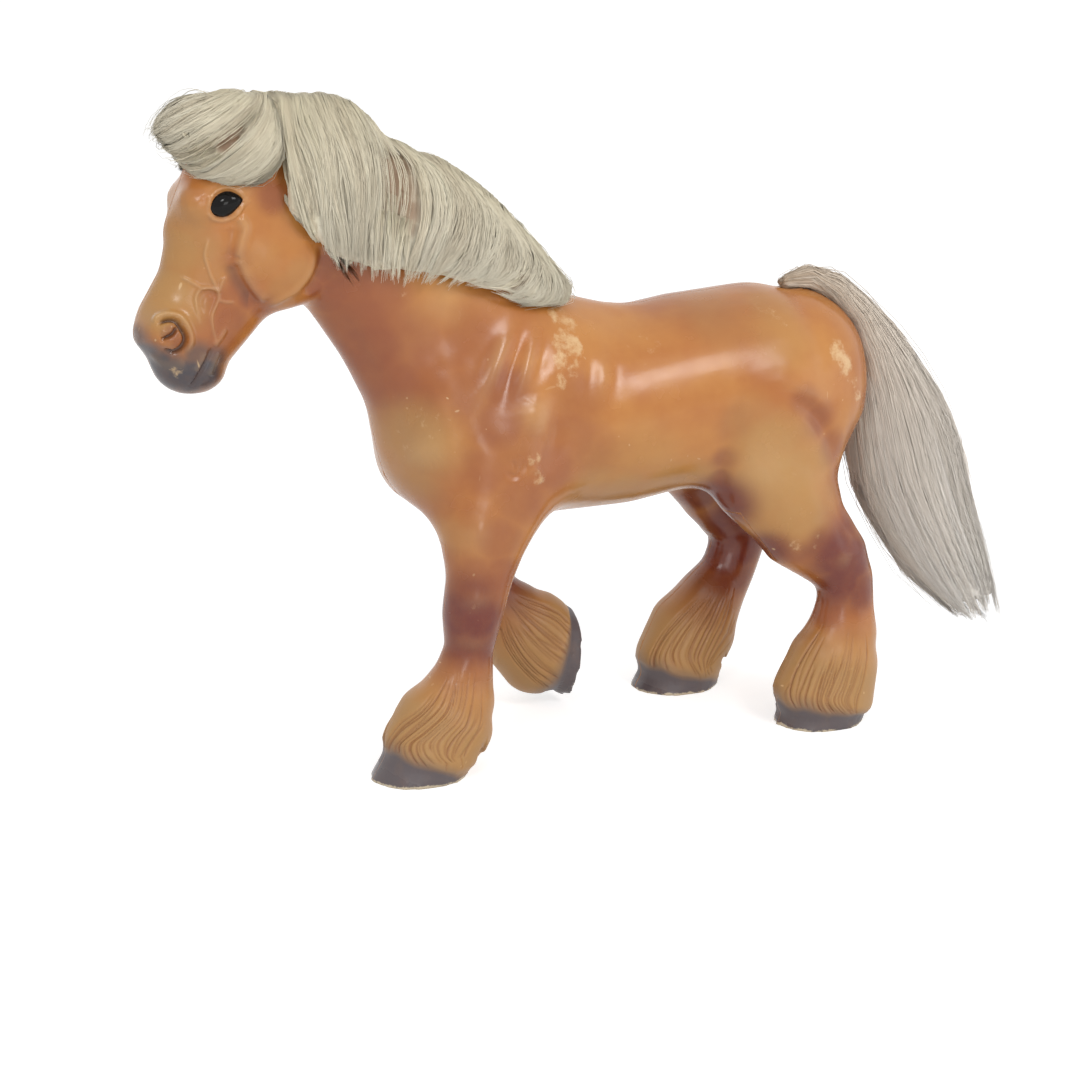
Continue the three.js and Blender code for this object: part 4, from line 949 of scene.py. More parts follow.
paint.links.new(colour, shader.inputs["Base Color"])
gloss = add_node(paint, "ShaderNodeTexNoise", Vector=place, Scale=120.0, Detail=3.0)
sheen = maths(paint, "MULTIPLY_ADD", gloss.outputs[0], SHEEN_VARIES, SHEEN_LEAST)
matt = maths(paint, "MULTIPLY", coat_mask("feather"), FEATHER_MATT)
paint.links.new(maths(paint, "ADD", sheen, matt), shader.inputs["Roughness"])
orange_peel = add_node(paint, "ShaderNodeTexNoise", Vector=place, Scale=900.0, Detail=2.0)
height = maths(paint, "SUBTRACT", orange_peel.outputs[0],
               maths(paint, "MULTIPLY", worn_marks.outputs["Flecks"], FLECK_DEPTH))
bump = add_node(paint, "ShaderNodeBump", Height=height, Strength=0.12, Distance=0.1 * MM)
paint.links.new(bump.outputs[0], shader.inputs["Normal"])
for piece in body_pieces:
    piece.data.materials.clear()
    piece.data.materials.append(body_paint)

# Eyes: a glossy black almond is set in each side of the head, its back corner drawn to
# a point and tipped up.
EYE_AT = (226, 204)
EYE_LONG, EYE_HIGH, EYE_DEEP = 4.15 * MM, 2.95 * MM, 2.0 * MM
EYE_TILT = math.radians(9)
EYE_SINK = 0.75 * MM
EYE_TAPER, EYE_TAPER_CURVE = 0.42, 1.6
EYE_ARCH, EYE_ARCH_WAVE = 0.12, 2.2
EYE_UPWARD = 0.6
EYE_BLACK = (0.002, 0.002, 0.002, 1)
EYE_CLOUD = (0.008, 0.006, 0.005, 1)
eye_spot = on_surface(skin_tree, EYE_AT)
eye_out = skin_tree.find_nearest(eye_spot)[1]
eye_gloss, glass, shader = new_material("eye_gloss")
cloud = add_node(glass, "ShaderNodeTexNoise", Scale=420.0, Detail=3.0,
                 Vector=add_node(glass, "ShaderNodeTexCoord").outputs["Object"])
glass.links.new(mixed(glass, cloud.outputs[0], EYE_BLACK, EYE_CLOUD),
                shader.inputs["Base Color"])
glass.links.new(maths(glass, "MULTIPLY_ADD", cloud.outputs[0], 0.1, 0.03),
                shader.inputs["Roughness"])
shader.inputs["Specular IOR Level"].default_value = 0.18
for name, side in (("left_eye", LEFT), ("right_eye", RIGHT)):
    bm = bmesh.new()
    bmesh.ops.create_uvsphere(bm, u_segments=40, v_segments=24, radius=1)
    for v in bm.verts:
        v.co.z *= 1 - EYE_TAPER * max(0.0, v.co.x) ** EYE_TAPER_CURVE
        v.co.z += EYE_ARCH * math.sin(v.co.x * EYE_ARCH_WAVE)
    out = Vector((eye_out.x, eye_out.y, eye_out.z * EYE_UPWARD)).normalized()
    up = (Vector((0, 0, 1)) - out * out.z).normalized()
    back = up.cross(out)
    turn = Matrix((back, out, up)).transposed().to_4x4()
    turn = turn @ Matrix.Rotation(-EYE_TILT, 4, "Y")
    turn = turn @ Matrix.Diagonal((EYE_LONG, EYE_DEEP, EYE_HIGH, 1))
    bmesh.ops.transform(bm, matrix=Matrix.Translation(eye_spot - out * EYE_SINK) @ turn,
                        verts=bm.verts)
    if side == RIGHT:
        bmesh.ops.scale(bm, vec=(1, -1, 1), verts=bm.verts)
        bmesh.ops.translate(bm, vec=(0, 2 * MIDDLE_Y, 0), verts=bm.verts)
    bmesh.ops.recalc_face_normals(bm, faces=bm.faces)
    piece = added(name + "_almond", mesh_of(bm, name + "_almond"))
    piece.data.shade_smooth()
    piece.data.materials.append(eye_gloss)
    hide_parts(name)
    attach(piece, "root")

# Fibre: the mane, forelock and tail are bundles of fine combed fibre. Each has a core
# whose face is combed into locks, and single strands that follow the same fall over it.
STRAND_POINTS = 12
STRAND_RADIUS = 0.085 * MM
STRAND_VARIES = (0.7, 1.3)
ROOT_SHARE, ROOT_GROWS = 0.55, 3
TIP_THINS, TIP_FROM, TIP_RUN = 0.7, 0.55, 0.45
ROUND_SHARE = 0.45
SHEET_ACROSS = 120
CREST_STEPS = 4
CORE_CELL = 1.0 * MM
strand_rng = np.random.default_rng(41)

section_curve = bpy.data.curves.new("strand_section", "CURVE")
section_curve.dimensions = "2D"
corner = section_curve.splines.new("POLY")
corner.points.add(2)
for k, knot in enumerate(corner.points):
    knot.co = (math.sin(k * math.tau / 3), math.cos(k * math.tau / 3), 0, 1)
corner.use_cyclic_u = True
section = added("strand_section", section_curve)


def strands(name, paths, outs, tones, body, slot, material):
    """One piece of many thin closed strands, tapered to their tips."""
    curve = bpy.data.curves.new(name, "CURVE")
    curve.dimensions = "3D"
    curve.bevel_mode = "OBJECT"
    curve.bevel_object = section
    count, steps = paths.shape[:2]
    along = np.linspace(0, 1, steps)
    thinned = TIP_THINS * np.clip(along - TIP_FROM, 0, 1) / TIP_RUN
    taper = np.minimum(1, ROOT_SHARE + ROOT_GROWS * along) * (1 - thinned)
    radii = STRAND_RADIUS * strand_rng.uniform(*STRAND_VARIES, count)
    ones = np.ones((steps, 1))
    for path, radius in zip(paths, radii):
        spline = curve.splines.new("POLY")
        spline.points.add(steps - 1)
        spline.points.foreach_set("co", np.hstack([path, ones]).ravel())
        spline.points.foreach_set("radius", taper * radius)
    maker = added(name + "_maker", curve)
    evaluated = maker.evaluated_get(bpy.context.evaluated_depsgraph_get())
    data = bpy.data.meshes.new_from_object(evaluated)
    bpy.data.objects.remove(maker)
    bm = bmesh.new()
    bm.from_mesh(data)
    bmesh.ops.holes_fill(bm, edges=[e for e in bm.edges if e.is_boundary], sides=3)
    bm.to_mesh(data)
    bm.free()
    data.name = name
    data.shade_smooth()
    ring = len(data.vertices) // (count * steps)
    keep_value(data, "tone", np.repeat(tones, steps * ring))
    keep_value(data, "along", np.tile(np.repeat(along, ring), count))
    round_way = np.zeros(len(data.vertices) * 3)
    data.vertices.foreach_get("normal", round_way)
    soft = ROUND_SHARE * round_way.reshape(-1, 3)
    soft = soft + np.repeat(outs.reshape(-1, 3), ring, axis=0)
    soft /= np.linalg.norm(soft, axis=1)[:, None]
    data.normals_split_custom_set_from_vertices(soft)
    data.materials.append(material)
    piece = added(name, data)
    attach(piece, body)


def hair_sheet(guides, tree, from_crest, bunching, end_back):
    """Combed lines of the photograph laid on a core, from its crest where they start there.
    Bunching above 1 sets their points closer together near the root, and where end_back is
    given a last line runs down the middle of the core, so many mm behind the others."""
    rows = []
    for guide in guides:
        line = [on_surface(tree, q) for q in smooth_line(guide, 0.1)]
        if from_crest:
            top = tree.ray_cast(Vector((line[0].x, MIDDLE_Y, FAR)), Vector((0, 0, -1)))[0]
            line = [tree.find_nearest(top.lerp(line[0], k / CREST_STEPS))[0]
                    for k in range(CREST_STEPS)] + line
        line = np.array(line)
        run = np.concatenate([[0], np.cumsum(np.linalg.norm(np.diff(line, axis=0), axis=1))])
        at = run[-1] * np.linspace(0, 1, STRAND_POINTS) ** bunching
        rows.append(np.stack([np.interp(at, run, line[:, c]) for c in range(3)], 1))
    if end_back is not None:
        last = rows[-1] + np.array([end_back * MM, 0, 0])
        last[:, 1] = MIDDLE_Y
        rows.append(last)
    sheet = spread(np.array(rows), SHEET_ACROSS)
    return np.array([[tree.find_nearest(Vector(q))[0] for q in row] for row in sheet])


OUTLINE_DEPTH = 14 * MM
OUTLINE_FADE = 5 * MM
OUTLINE_START = 60 * MM


def fit_outline(bm, pixels):
    """Draws a core in or out to an outline of the photograph, listed from head to tail,
    and less and less the deeper inside it."""
    tree = BVHTree.FromBMesh(bm)
    line = []
    for pixel in smooth_line(pixels, 0.25):
        way = photo_ray(pixel)
        line.append(camera.location + way * ((MIDDLE_Y - camera.location.y) / way.y))
    line = np.array(line)
    ahead = np.gradient(line, axis=0)
    ahead /= np.linalg.norm(ahead, axis=1)[:, None]
    outward = np.stack([-ahead[:, 2], np.zeros(len(line)), ahead[:, 0]], 1)
    excess = np.full(len(line), np.nan)
    for k, (spot, out) in enumerate(zip(line, outward)):
        hit = tree.ray_cast(Vector(spot + out * OUTLINE_START), Vector(-out))[0]
        if hit is not None:
            excess[k] = (np.array(hit) - spot) @ out
    known = np.flatnonzero(~np.isnan(excess))
    excess = np.interp(np.arange(len(line)), known, excess[known])
    co = spots(bm)
    flat = np.array([1, 0, 1])
    gaps = np.linalg.norm((co[:, None] - line[None]) * flat, axis=2)
    k = gaps.argmin(1)
    off = (co - line[k]) * flat
    height = (off * outward[k]).sum(1)
    past = np.abs((off * ahead[k]).sum(1))
    weight = np.clip(1 + (height - excess[k]) / OUTLINE_DEPTH, 0, 1)
    weight = weight ** 2 * (3 - 2 * weight) * np.exp(-(past / OUTLINE_FADE) ** 2)
    put_spots(bm, co - outward[k] * (excess[k] * weight)[:, None])


TUFTS = 4
TUFT_SWAY, TUFT_WAVES = 0.16, 1.4
TUFT_SPREAD, TUFT_GATHERS = 1.25, 0.75
TUFT_LENGTH = (0.95, 1.03)
LOCK_SHIFT, LOCK_SWAY, LOCK_WAVE = 0.28, 0.22, 4
LOCK_CROWN, CROWN_SUNK = 0.55, 0.55
LOCK_NARROWS = 0.25
UNDERSIDE = -0.3
LIFT_LOW, LIFT_HIGH = -0.2, 0.5
STRAY_LIFT, STRAY_FRIZZ = (0.3, 2.0), 2.5
FRIZZ_AT_ROOT, FRIZZ_WAVES = 0.3, 1.2
BARE_WHERE, BARE_SHARE = (0.25, 0.95), 0.92
BARE_TO_END, SHORTEST = 0.85, 0.1
TONE, TONE_OF_TUFT, TONE_OF_STRAND, TONE_SHADED_BELOW = 0.72, 0.13, 0.12, 0.12


def lock_edges(count):
    """Where the edges between the locks of a bundle run: place, sway and turn of each."""
    place = np.arange(count + 1) + strand_rng.uniform(-LOCK_SHIFT, LOCK_SHIFT, count + 1)
    place = place / count
    place[0], place[-1] = 0, 1
    sway = strand_rng.normal(0, LOCK_SWAY / count, count + 1)
    return place, sway, strand_rng.uniform(0, 6, count + 1)


def edge_at(edges, k, along):
    """Where an edge between locks lies at some share of its length."""
    place, sway, turn = edges
    return place[k] + sway[k] * np.sin(LOCK_WAVE * along + turn[k]) * along


def comb(sheet, tree, count, edges, hollows, frizz=0.24, stray=0.05, reach=(0.9, 1.06)):
    """Strands of a combed sheet, gathered into locks that narrow towards their tips. They
    stay away from the hollows, and where a normal points under or across they keep the
    one before it."""
    rng = strand_rng
    normal = np.array([[tree.find_nearest(Vector(q))[1] for q in row] for row in sheet])
    for k in range(1, STRAND_POINTS):
        under = (normal[:, k, 2] < UNDERSIDE) | (normal[:, k, 1] > -UNDERSIDE)
        normal[under, k] = normal[under, k - 1]
    span = len(sheet) - 1
    along = np.linspace(0, 1, STRAND_POINTS)[None, :]
    locks = len(edges[0]) - 1
    lock = np.searchsorted(edges[0], rng.uniform(0, 1, count)).clip(1, locks) - 1
    tuft = rng.integers(0, TUFTS, count)
    middle = (tuft + 0.5) / TUFTS + rng.uniform(-0.5, 0.5, (locks, TUFTS))[lock, tuft] / TUFTS
    inside = rng.normal(0, 0.5 / TUFTS, count)[:, None] * (TUFT_SPREAD - TUFT_GATHERS * along)
    inside = middle[:, None] + inside
    turn = rng.uniform(0, math.tau, (locks, TUFTS))[lock, tuft][:, None]
    inside = inside + TUFT_SWAY * along * np.sin(TUFT_WAVES * math.tau * along + turn)
    inside = 0.5 + (np.clip(inside, -0.1, 1.1) - 0.5) * (1 - LOCK_NARROWS * along ** 3)
    low = np.stack([edge_at(edges, lock, t) for t in along[0]], 1)
    high = np.stack([edge_at(edges, lock + 1, t) for t in along[0]], 1)
    across = np.clip((low + (high - low) * inside) * span, 0, span - 1e-6)
    columns = np.arange(STRAND_POINTS)[None, :].repeat(count, 0)
    k = across.astype(int)
    share = (across - k)[..., None]
    path = sheet[k, columns] * (1 - share) + sheet[k + 1, columns] * share
    out = normal[k, columns] * (1 - share) + normal[k + 1, columns] * share
    layer = rng.uniform(0, 1, count)
    crown = 4 * inside * (1 - inside) * (LOCK_CROWN * np.sqrt(along))
    lift = LIFT_LOW + (LIFT_HIGH - LIFT_LOW) * layer[:, None] + crown - LOCK_CROWN * CROWN_SUNK
    wild = (rng.uniform(0, 1, count) < stray)[:, None]
    lift = lift + wild * rng.uniform(*STRAY_LIFT, (count, 1)) * along
    wobble = rng.normal(0, 1, (count, 3, 2))
    waves = np.stack([np.sin(math.tau * along * FRIZZ_WAVES + wobble[:, c, :1])
                      * wobble[:, c, 1:] for c in range(3)], 2)
    size = frizz * (FRIZZ_AT_ROOT + along) * (1 + STRAY_FRIZZ * wild)
    path = path + out * (lift * MM)[..., None] + waves * (size * MM)[..., None]
    lock_length = rng.uniform(*TUFT_LENGTH, (locks, TUFTS))[lock, tuft]
    end = rng.uniform(*reach, count) * lock_length
    start = np.zeros(count)
    bare = puffed(path.reshape(-1, 3), tree, hollows).reshape(count, STRAND_POINTS)
    bare = bare > rng.uniform(*BARE_WHERE, (count, 1))
    before = (bare.argmax(1) - 0.5) / (STRAND_POINTS - 1)
    after = (STRAND_POINTS - 0.5 - bare[:, ::-1].argmax(1)) / (STRAND_POINTS - 1)
    cut_off = bare.any(1) & (rng.uniform(0, 1, count) < BARE_SHARE)
    upper = (rng.uniform(0, 1, count) < before / (before + 1 - after)) | (after > BARE_TO_END)
    upper = cut_off & upper
    end = np.where(upper, np.maximum(before, SHORTEST), end)
    start = np.where(cut_off & ~upper, after, start)
    path = stretch(path, start, end)
    tone = TONE + TONE_OF_TUFT * rng.normal(0, 1, (locks, TUFTS))[lock, tuft]
    # Strands lying lower are darker, painted shade under the ones above them.
    tone = tone + TONE_OF_STRAND * rng.normal(0, 1, count) - TONE_SHADED_BELOW * (1 - layer)
    return path, out, np.clip(tone, 0, 1)


def stretch(path, start, end):
    """Keeps each strand from one share of its length to another, or runs it on straight."""
    at = start[:, None] + (end - start)[:, None] * np.linspace(0, 1, STRAND_POINTS)[None, :]
    at = at * (STRAND_POINTS - 1)
    k = np.clip(at.astype(int), 0, STRAND_POINTS - 2)
    share = (at - k)[..., None]
    rows = np.arange(len(path))[:, None]
    return path[rows, k] * (1 - share) + path[rows, k + 1] * share


def comb_side(side, *combed, **settings):
    """The strands of one side. Those of the right are mirrored from lines on the left."""
    paths, outs, tones = comb(*combed, **settings)
    if side == RIGHT:
        paths[..., 1] = 2 * MIDDLE_Y - paths[..., 1]
        outs[..., 1] = 0 - outs[..., 1]
    return paths, outs, tones


CORE_ROUNDS, SWELL_ROUNDS = 14, 8
CORE_REACH = 5 * MM
PARTING_WIDTH = 0.2
LINE_WIDTH, LINE_DEPTH = 0.4, 0.25
TIP_SINKS = 0.7
HOLLOW_DEPTH = 1.8


def hair_core(name, node, bm, outline, guides, from_crest, sink, locks, lines, hollows, swells,
              bunching=1.0, end_back=None):
    """The body of a bundle, fitted to its outline and combed into locks along its fall,
    with its sheet of combed lines. Sink is how far it lies under the strands, in mm."""
    relax(bm, CORE_ROUNDS)
    fit_outline(bm, outline)
    tree = BVHTree.FromBMesh(bm)
    normals = np.array([v.normal for v in bm.verts])
    pushed = sum(depth * puffed(spots(bm), tree, [(x, y, radius, 1)])
                 for x, y, radius, depth in swells)
    put_spots(bm, spots(bm) + normals * (pushed * MM)[:, None])
    relax(bm, SWELL_ROUNDS)
    tree = BVHTree.FromBMesh(bm)
    sheet = hair_sheet(guides, tree, from_crest, bunching, end_back)
    finer(bm, bm.faces)
    co = spots(bm)
    normals = np.array([v.normal for v in bm.verts])
    left = co.copy()
    left[:, 1] = MIDDLE_Y - np.abs(left[:, 1] - MIDDLE_Y)
    across, along, close = sheet_places(sheet, left, CORE_REACH)
    edges = lock_edges(locks)
    parting = np.zeros(len(co))
    for k in range(1, locks):
        gap = (across - edge_at(edges, k, along)) * locks
        edge = np.exp(-(gap / PARTING_WIDTH) ** 2)
        parting = np.maximum(parting, edge * np.clip(along * 3, 0.2, 1))
    strand_lines = groove(across, along, lines, strand_rng, LINE_WIDTH)
    relief = LOCK_CROWN * parting + LINE_DEPTH * strand_lines
    hollow = puffed(co, tree, hollows)
    sunk = sink * (1 + TIP_SINKS * along ** 4)
    sunk = relief * close + sunk + HOLLOW_DEPTH * hollow
    put_spots(bm, co - normals * (sunk * MM)[:, None])
    piece = added(name, mesh_of(bm, name))
    for label, value in (("across", across), ("along", along), ("groove", parting),
                         ("hollow", hollow)):
        keep_value(piece.data, label, value)
    piece.data.shade_smooth()
    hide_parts(node)
    return piece, tree, sheet, edges


def fibre_material(name, root, pale, dark):
    """Dull combed fibre, each strand a little lighter or darker than the next, and the strands lying
    lowest darker still as painted shade.
    """
    material, tree, shader = new_material(name)
    tone = add_node(tree, "ShaderNodeAttribute", settings={"attribute_name": "tone"})
    along = add_node(tree, "ShaderNodeAttribute", settings={"attribute_name": "along"})
    fall = mixed(tree, along.outputs["Fac"], root, pale)
    tree.links.new(mixed(tree, tone.outputs["Fac"], dark, fall), shader.inputs["Base Color"])
    shader.inputs["Roughness"].default_value = 0.5
    shader.inputs["Specular IOR Level"].default_value = 0.4
    return material


STREAKS_ACROSS, STREAKS_ALONG = 130.0, 5.0
STREAK_DARK, STREAK_PALE = 0.2, 0.6
PARTING_SHADE_SHOWS, GAP_SHADE_SHOWS = 0.2, 0.85


def combed_material(name, root, pale, dark, gap_skin_and_shade):
    """The same fibre seen as a mass: fine streaks that run with the fall, painted shade along the
    partings between locks, and in the hollows skin showing through, darkened as painted shade.
    """
    material, tree, shader = new_material(name)
    value = {label: add_node(tree, "ShaderNodeAttribute",
                             settings={"attribute_name": label}).outputs["Fac"]
             for label in ("across", "along", "groove", "hollow")}
    place = add_node(tree, "ShaderNodeCombineXYZ",
                     X=maths(tree, "MULTIPLY", value["across"], STREAKS_ACROSS),
                     Y=maths(tree, "MULTIPLY", value["along"], STREAKS_ALONG))
    streaks = add_node(tree, "ShaderNodeTexNoise", Vector=place.outputs[0], Scale=1.0,
                       Detail=4.0, Roughness=0.6, Distortion=0.4)
    tone = ramp(tree, streaks.outputs[0], STREAK_DARK, STREAK_PALE)
    colour = mixed(tree, tone, dark, mixed(tree, value["along"], root, pale))
    # Painted shade along the partings between the locks.
    parting = maths(tree, "MULTIPLY", value["groove"], PARTING_SHADE_SHOWS, clamp=True)
    colour = mixed(tree, parting, colour, dark)
    # Skin showing through the hollows, darkened as painted shade.
    hollow = maths(tree, "MULTIPLY", value["hollow"], GAP_SHADE_SHOWS)
    colour = mixed(tree, hollow, colour, gap_skin_and_shade)
    tree.links.new(colour, shader.inputs["Base Color"])
    shader.inputs["Roughness"].default_value = 0.55
    shader.inputs["Specular IOR Level"].default_value = 0.35
    bump = add_node(tree, "ShaderNodeBump", Height=streaks.outputs[0], Strength=0.5,
                    Distance=0.25 * MM)
    tree.links.new(bump.outputs[0], shader.inputs["Normal"])
    return material


CREAM_ROOT = (0.76, 0.69, 0.49, 1)
CREAM_PALE = (0.90, 0.84, 0.68, 1)
CREAM_DARK = (0.60, 0.50, 0.35, 1)
# skin seen through the gaps in the hair, darkened as painted shade
SKIN_AND_SHADE_IN_GAPS = (0.34, 0.19, 0.11, 1)
mane_strand = fibre_material("mane_strand", CREAM_ROOT, CREAM_PALE, CREAM_DARK)
mane_mass = combed_material("mane_mass", CREAM_ROOT, CREAM_PALE, CREAM_DARK, SKIN_AND_SHADE_IN_GAPS)

# Mane: sewn along the crest, it falls on both sides of the neck, the front lock over
# the cheek and the rear locks hooked forward at their tips.
MANE_FALL = [
    [(256, 96), (260, 124), (266, 154), (276, 186), (288, 213), (307, 248)],
    [(268, 103), (269, 128), (272, 156), (279, 186), (291, 213), (310, 248)],
    [(280, 98), (281, 125), (286, 155), (292, 187), (303, 218), (320, 252)],
    [(294, 95), (299, 125), (308, 155), (316, 190), (324, 222), (334, 258)],
    [(312, 94), (322, 122), (333, 152), (341, 188), (345, 222), (347, 262)],
    [(332, 95), (344, 120), (354, 150), (361, 186), (361, 225), (359, 266)],
    [(350, 103), (363, 126), (372, 153), (377, 187), (374, 226), (371, 270)],
    [(366, 116), (379, 138), (388, 162), (392, 190), (387, 226), (383, 272)],
    [(382, 138), (396, 153), (405, 175), (406, 203), (401, 236), (396, 274)],
    [(396, 145), (412, 160), (421, 182), (422, 210), (416, 240), (408, 274)],
    [(412, 152), (430, 170), (438, 192), (438, 218), (430, 245), (420, 272)],
    [(430, 159), (448, 180), (456, 203), (454, 228), (445, 252), (432, 272)],
    [(450, 171), (468, 194), (476, 218), (472, 243), (461, 263), (446, 276)],
    [(470, 185), (489, 208), (498, 232), (494, 256), (481, 273), (464, 281)],
    [(492, 203), (511, 227), (520, 251), (515, 273), (501, 286), (485, 286)],
    [(512, 221), (531, 246), (541, 269), (537, 290), (523, 301), (506, 296)],
    [(530, 240), (549, 266), (559, 287), (552, 304), (538, 311), (521, 303)],
    [(546, 258), (562, 280), (567, 295), (560, 306), (547, 312), (534, 308)],
    [(553, 266), (567, 286), (573, 299), (568, 311), (554, 318), (540, 315)],
]
POLL_LUMP = ((-88.5, 0.15, 164), (9.5, 9.5, 7.5))
MANE_HOLLOWS = [(399, 164, 5.6, 1.0), (401, 186, 6.6, 1.0), (407, 208, 5.2, 0.95),
                (411, 226, 3, 0.6), (393, 150, 3, 0.75), (386, 198, 3.6, 0.65), (302, 104, 2, 0.8),
                (524, 278, 2.2, 0.7), (518, 286, 2, 0.6), (292, 158, 1.6, 0.5)]
MANE_OUTLINE = [
    (273, 91), (295, 93), (321, 93), (340, 97), (353, 105), (366, 117), (375, 129), (381, 137),
    (392, 139), (403, 144), (416, 152), (431, 155), (444, 162), (462, 174), (477, 185), (494, 202),
    (509, 218), (525, 235), (540, 254), (551, 270), (561, 285), (568, 300)]
MANE_SWELLS = [(350, 170, 9, 1.2), (300, 165, 4, -0.6), (450, 225, 8, 0.6),
               (540, 285, 5, 0.6), (335, 238, 6, 1.3), (350, 256, 4, 1.0), (272, 178, 4, 0.6)]
MANE_STRANDS = 2850
mane, mane_tree, mane_sheet, mane_edges = hair_core(
    "mane_mass", "mane_hair", outer_skin(["mane_hair"], CORE_CELL, lump=POLL_LUMP),
    MANE_OUTLINE, MANE_FALL, from_crest=True, sink=0.75, locks=14, lines=110,
    hollows=MANE_HOLLOWS, swells=MANE_SWELLS, end_back=3.0)
mane.data.materials.append(mane_mass)
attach(mane, "root")
for name, side in (("mane_left", LEFT), ("mane_right", RIGHT)):
    combed = comb_side(side, mane_sheet, mane_tree, MANE_STRANDS, mane_edges, MANE_HOLLOWS)
    strands(name, *combed, "root", "fibre", mane_strand)

# Forelock: from the plug between the ears it is brushed forward over the brow, in
# curls that turn under at the front and cover the ears.
FORELOCK_FALL = [
    [(290, 103), (292, 134), (286, 160), (269, 178), (246, 189), (219, 190)],
    [(286, 100), (287, 126), (280, 150), (264, 170), (236, 184), (206, 186)],
    [(278, 97), (275, 122), (262, 146), (240, 166), (212, 179), (188, 172)],
    [(266, 95), (257, 116), (241, 137), (217, 155), (192, 165), (174, 158)],
    [(254, 94), (241, 110), (222, 127), (198, 142), (177, 149), (164, 147)],
    [(244, 93), (225, 104), (206, 116), (186, 127), (169, 137), (158, 139)],
    [(234, 93), (214, 98), (196, 106), (179, 115), (166, 124), (157, 131)],
    [(225, 91), (207, 95), (190, 101), (175, 108), (163, 117), (156, 126)],
]
FORELOCK_HOLLOWS = [(230, 134, 2.6, 1.0), (222, 144, 2.8, 1.0), (238, 124, 2, 0.8),
                    (214, 136, 1.6, 0.8), (206, 148, 2, 0.6)]
FORELOCK_OUTLINE = [
    (177, 159), (166, 148), (157, 135), (157, 124), (164, 116), (177, 107), (188, 102), (200, 101),
    (211, 97), (222, 92), (235, 91), (248, 94), (264, 92)]
FORELOCK_SWELLS = [(276, 182, 4.5, -1.7), (236, 150, 7, 0.8), (194, 111, 6, 1.2)]
FORELOCK_STRANDS = 1400
forelock, forelock_tree, forelock_sheet, forelock_edges = hair_core(
    "forelock_mass", "forelock_hair", outer_skin(["forelock_hair"], CORE_CELL, hull=True),
    FORELOCK_OUTLINE, FORELOCK_FALL, from_crest=True, sink=0.5, locks=8, lines=60,
    hollows=FORELOCK_HOLLOWS, swells=FORELOCK_SWELLS)
forelock.data.materials.append(mane_mass)
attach(forelock, "root")
sides = [comb_side(side, forelock_sheet, forelock_tree, FORELOCK_STRANDS, forelock_edges,
                   FORELOCK_HOLLOWS, frizz=0.25) for side in (LEFT, RIGHT)]
combed = [np.concatenate(part) for part in zip(*sides)]
strands("forelock", *combed, "root", "fibre", mane_strand)

# Tail: tied in a knot at the dock, which its hair covers, it swells over the croup and
# hangs long, straight and loose behind the thighs.
TAIL_FALL = [
    [(773, 288), (798, 291), (822, 304), (838, 335), (846, 380), (847, 430), (855, 490),
     (888, 548), (940, 606)],
    [(773, 286), (804, 282), (832, 298), (852, 335), (864, 385), (869, 440), (882, 500),
     (912, 557), (953, 614)],
    [(774, 285), (810, 275), (838, 291), (862, 326), (880, 376), (891, 435), (906, 495),
     (934, 553), (966, 616)],
    [(775, 284), (814, 271), (845, 289), (872, 322), (896, 374), (914, 433), (930, 495),
     (954, 553), (979, 614)],
    [(776, 283), (819, 269), (851, 289), (880, 321), (912, 374), (936, 431), (951, 495),
     (972, 553), (989, 608)],
    [(778, 281), (825, 269), (860, 292), (893, 324), (930, 375), (957, 430), (969, 490),
     (984, 550), (995, 596)],
]
TAIL_ROOT = (0.50, 0.34, 0.20, 1)
TAIL_PALE = (1.0, 0.96, 0.90, 1)
TAIL_DARK = (0.80, 0.71, 0.60, 1)
TAIL_OUTLINE = [
    (779, 285), (791, 276), (801, 271), (814, 268), (829, 270), (844, 279), (860, 292), (875, 305),
    (888, 318), (898, 332), (908, 350), (918, 364), (931, 376), (941, 391), (952, 413), (959, 436),
    (967, 457), (970, 482), (972, 505), (977, 528), (985, 551), (992, 567), (996, 590)]
TAIL_HOLLOWS = [(822, 276, 2, 0.7)]
TAIL_SWELLS = [(790, 285, 4, 0.3)]
TAIL_STRANDS = 2850
tail, tail_tree, tail_sheet, tail_edges = hair_core(
    "tail_mass", "tail_hair", outer_skin(["tail_hair", "tail_knot"], CORE_CELL), TAIL_OUTLINE,
    TAIL_FALL, from_crest=False, sink=0.6, locks=9, lines=60, hollows=TAIL_HOLLOWS,
    swells=TAIL_SWELLS, bunching=1.45)
tail.data.materials.append(combed_material("tail_mass", TAIL_ROOT, TAIL_PALE, TAIL_DARK,
                                           SKIN_AND_SHADE_IN_GAPS))
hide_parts("tail_knot")
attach(tail, "tail")
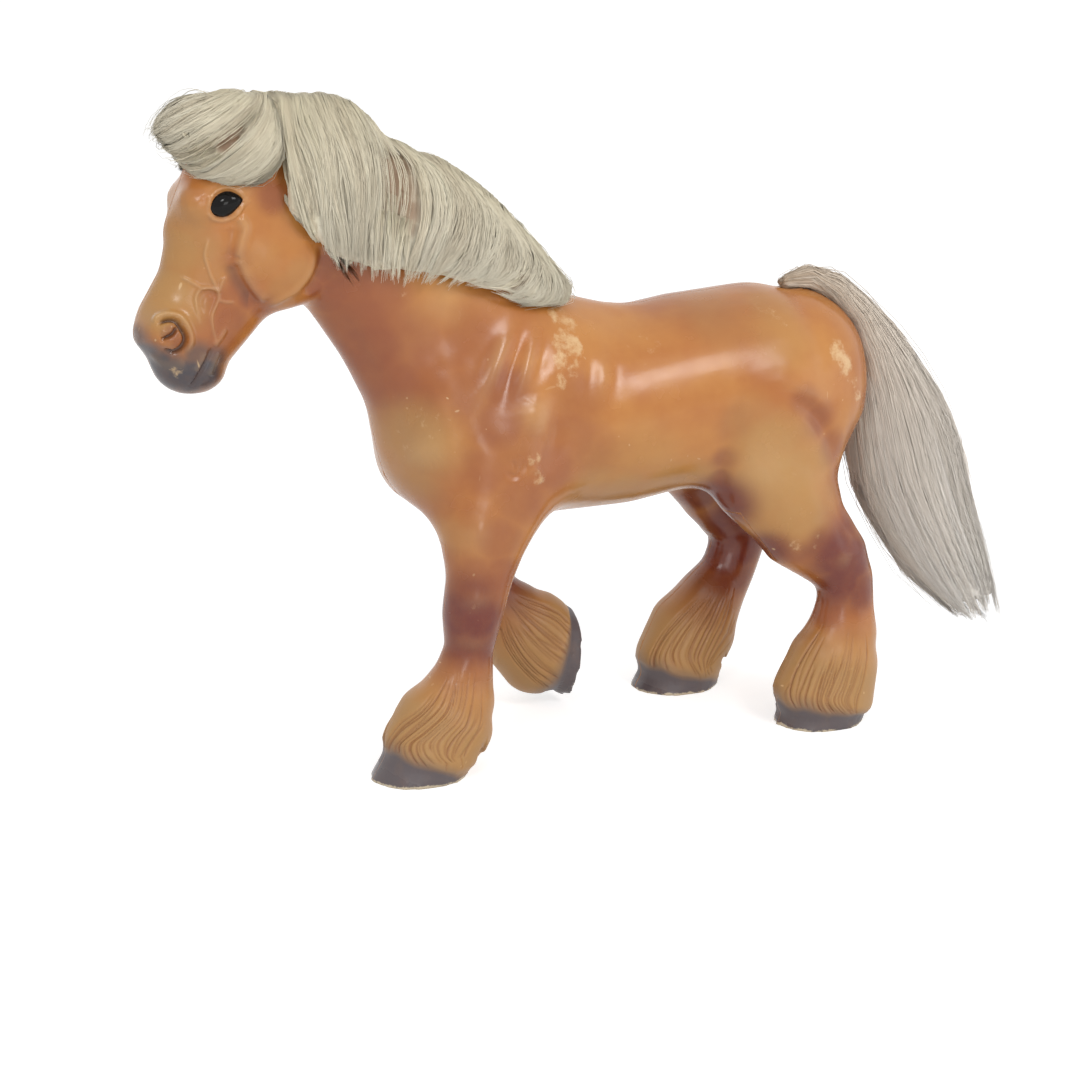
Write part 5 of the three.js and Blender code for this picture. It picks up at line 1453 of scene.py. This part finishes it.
tail_strand = fibre_material("tail_strand", TAIL_ROOT, TAIL_PALE, TAIL_DARK)
for name, side in (("tail_left", LEFT), ("tail_right", RIGHT)):
    combed = comb_side(side, tail_sheet, tail_tree, TAIL_STRANDS, tail_edges, [], frizz=0.4,
                       stray=0.04, reach=(0.95, 1.02))
    strands(name, *combed, "tail", "tail_fibre", tail_strand)
bpy.data.objects.remove(section)

# Plugs and strip: what holds the fibre. Two moulded plugs, and the sewn strip of cloth
# in the crest.
PLUG_DARK = (0.33, 0.14, 0.05, 1)
PLUG_LIGHT = (0.44, 0.20, 0.07, 1)
CLOTH_DARK = (0.42, 0.36, 0.25, 1)
CLOTH_LIGHT = (0.72, 0.66, 0.52, 1)
plug_plastic, tree, shader = new_material("plug_plastic")
place = add_node(tree, "ShaderNodeTexCoord").outputs["Object"]
cloud = add_node(tree, "ShaderNodeTexNoise", Vector=place, Scale=350.0, Detail=4.0).outputs[0]
tree.links.new(mixed(tree, cloud, PLUG_DARK, PLUG_LIGHT), shader.inputs["Base Color"])
tree.links.new(maths(tree, "MULTIPLY_ADD", cloud, 0.3, 0.3), shader.inputs["Roughness"])

strip_cloth, tree, shader = new_material("strip_cloth")
place = add_node(tree, "ShaderNodeTexCoord").outputs["Object"]
threads = [add_node(tree, "ShaderNodeTexWave", settings={"bands_direction": way}, Vector=place,
                    Scale=620.0, Distortion=0.6).outputs["Fac"] for way in ("X", "Z")]
weave = maths(tree, "MAXIMUM", *threads)
tree.links.new(mixed(tree, weave, CLOTH_DARK, CLOTH_LIGHT), shader.inputs["Base Color"])
shader.inputs["Roughness"].default_value = 0.85
bump = add_node(tree, "ShaderNodeBump", Height=weave, Strength=0.6, Distance=0.15 * MM)
tree.links.new(bump.outputs[0], shader.inputs["Normal"])

for node, finish in (("forelock_plug", plug_plastic), ("tail_plug", plug_plastic),
                     ("mane_strip", strip_cloth)):
    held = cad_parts[node].data
    held.materials.clear()
    held.materials.append(finish)

box = [list(c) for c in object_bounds()]
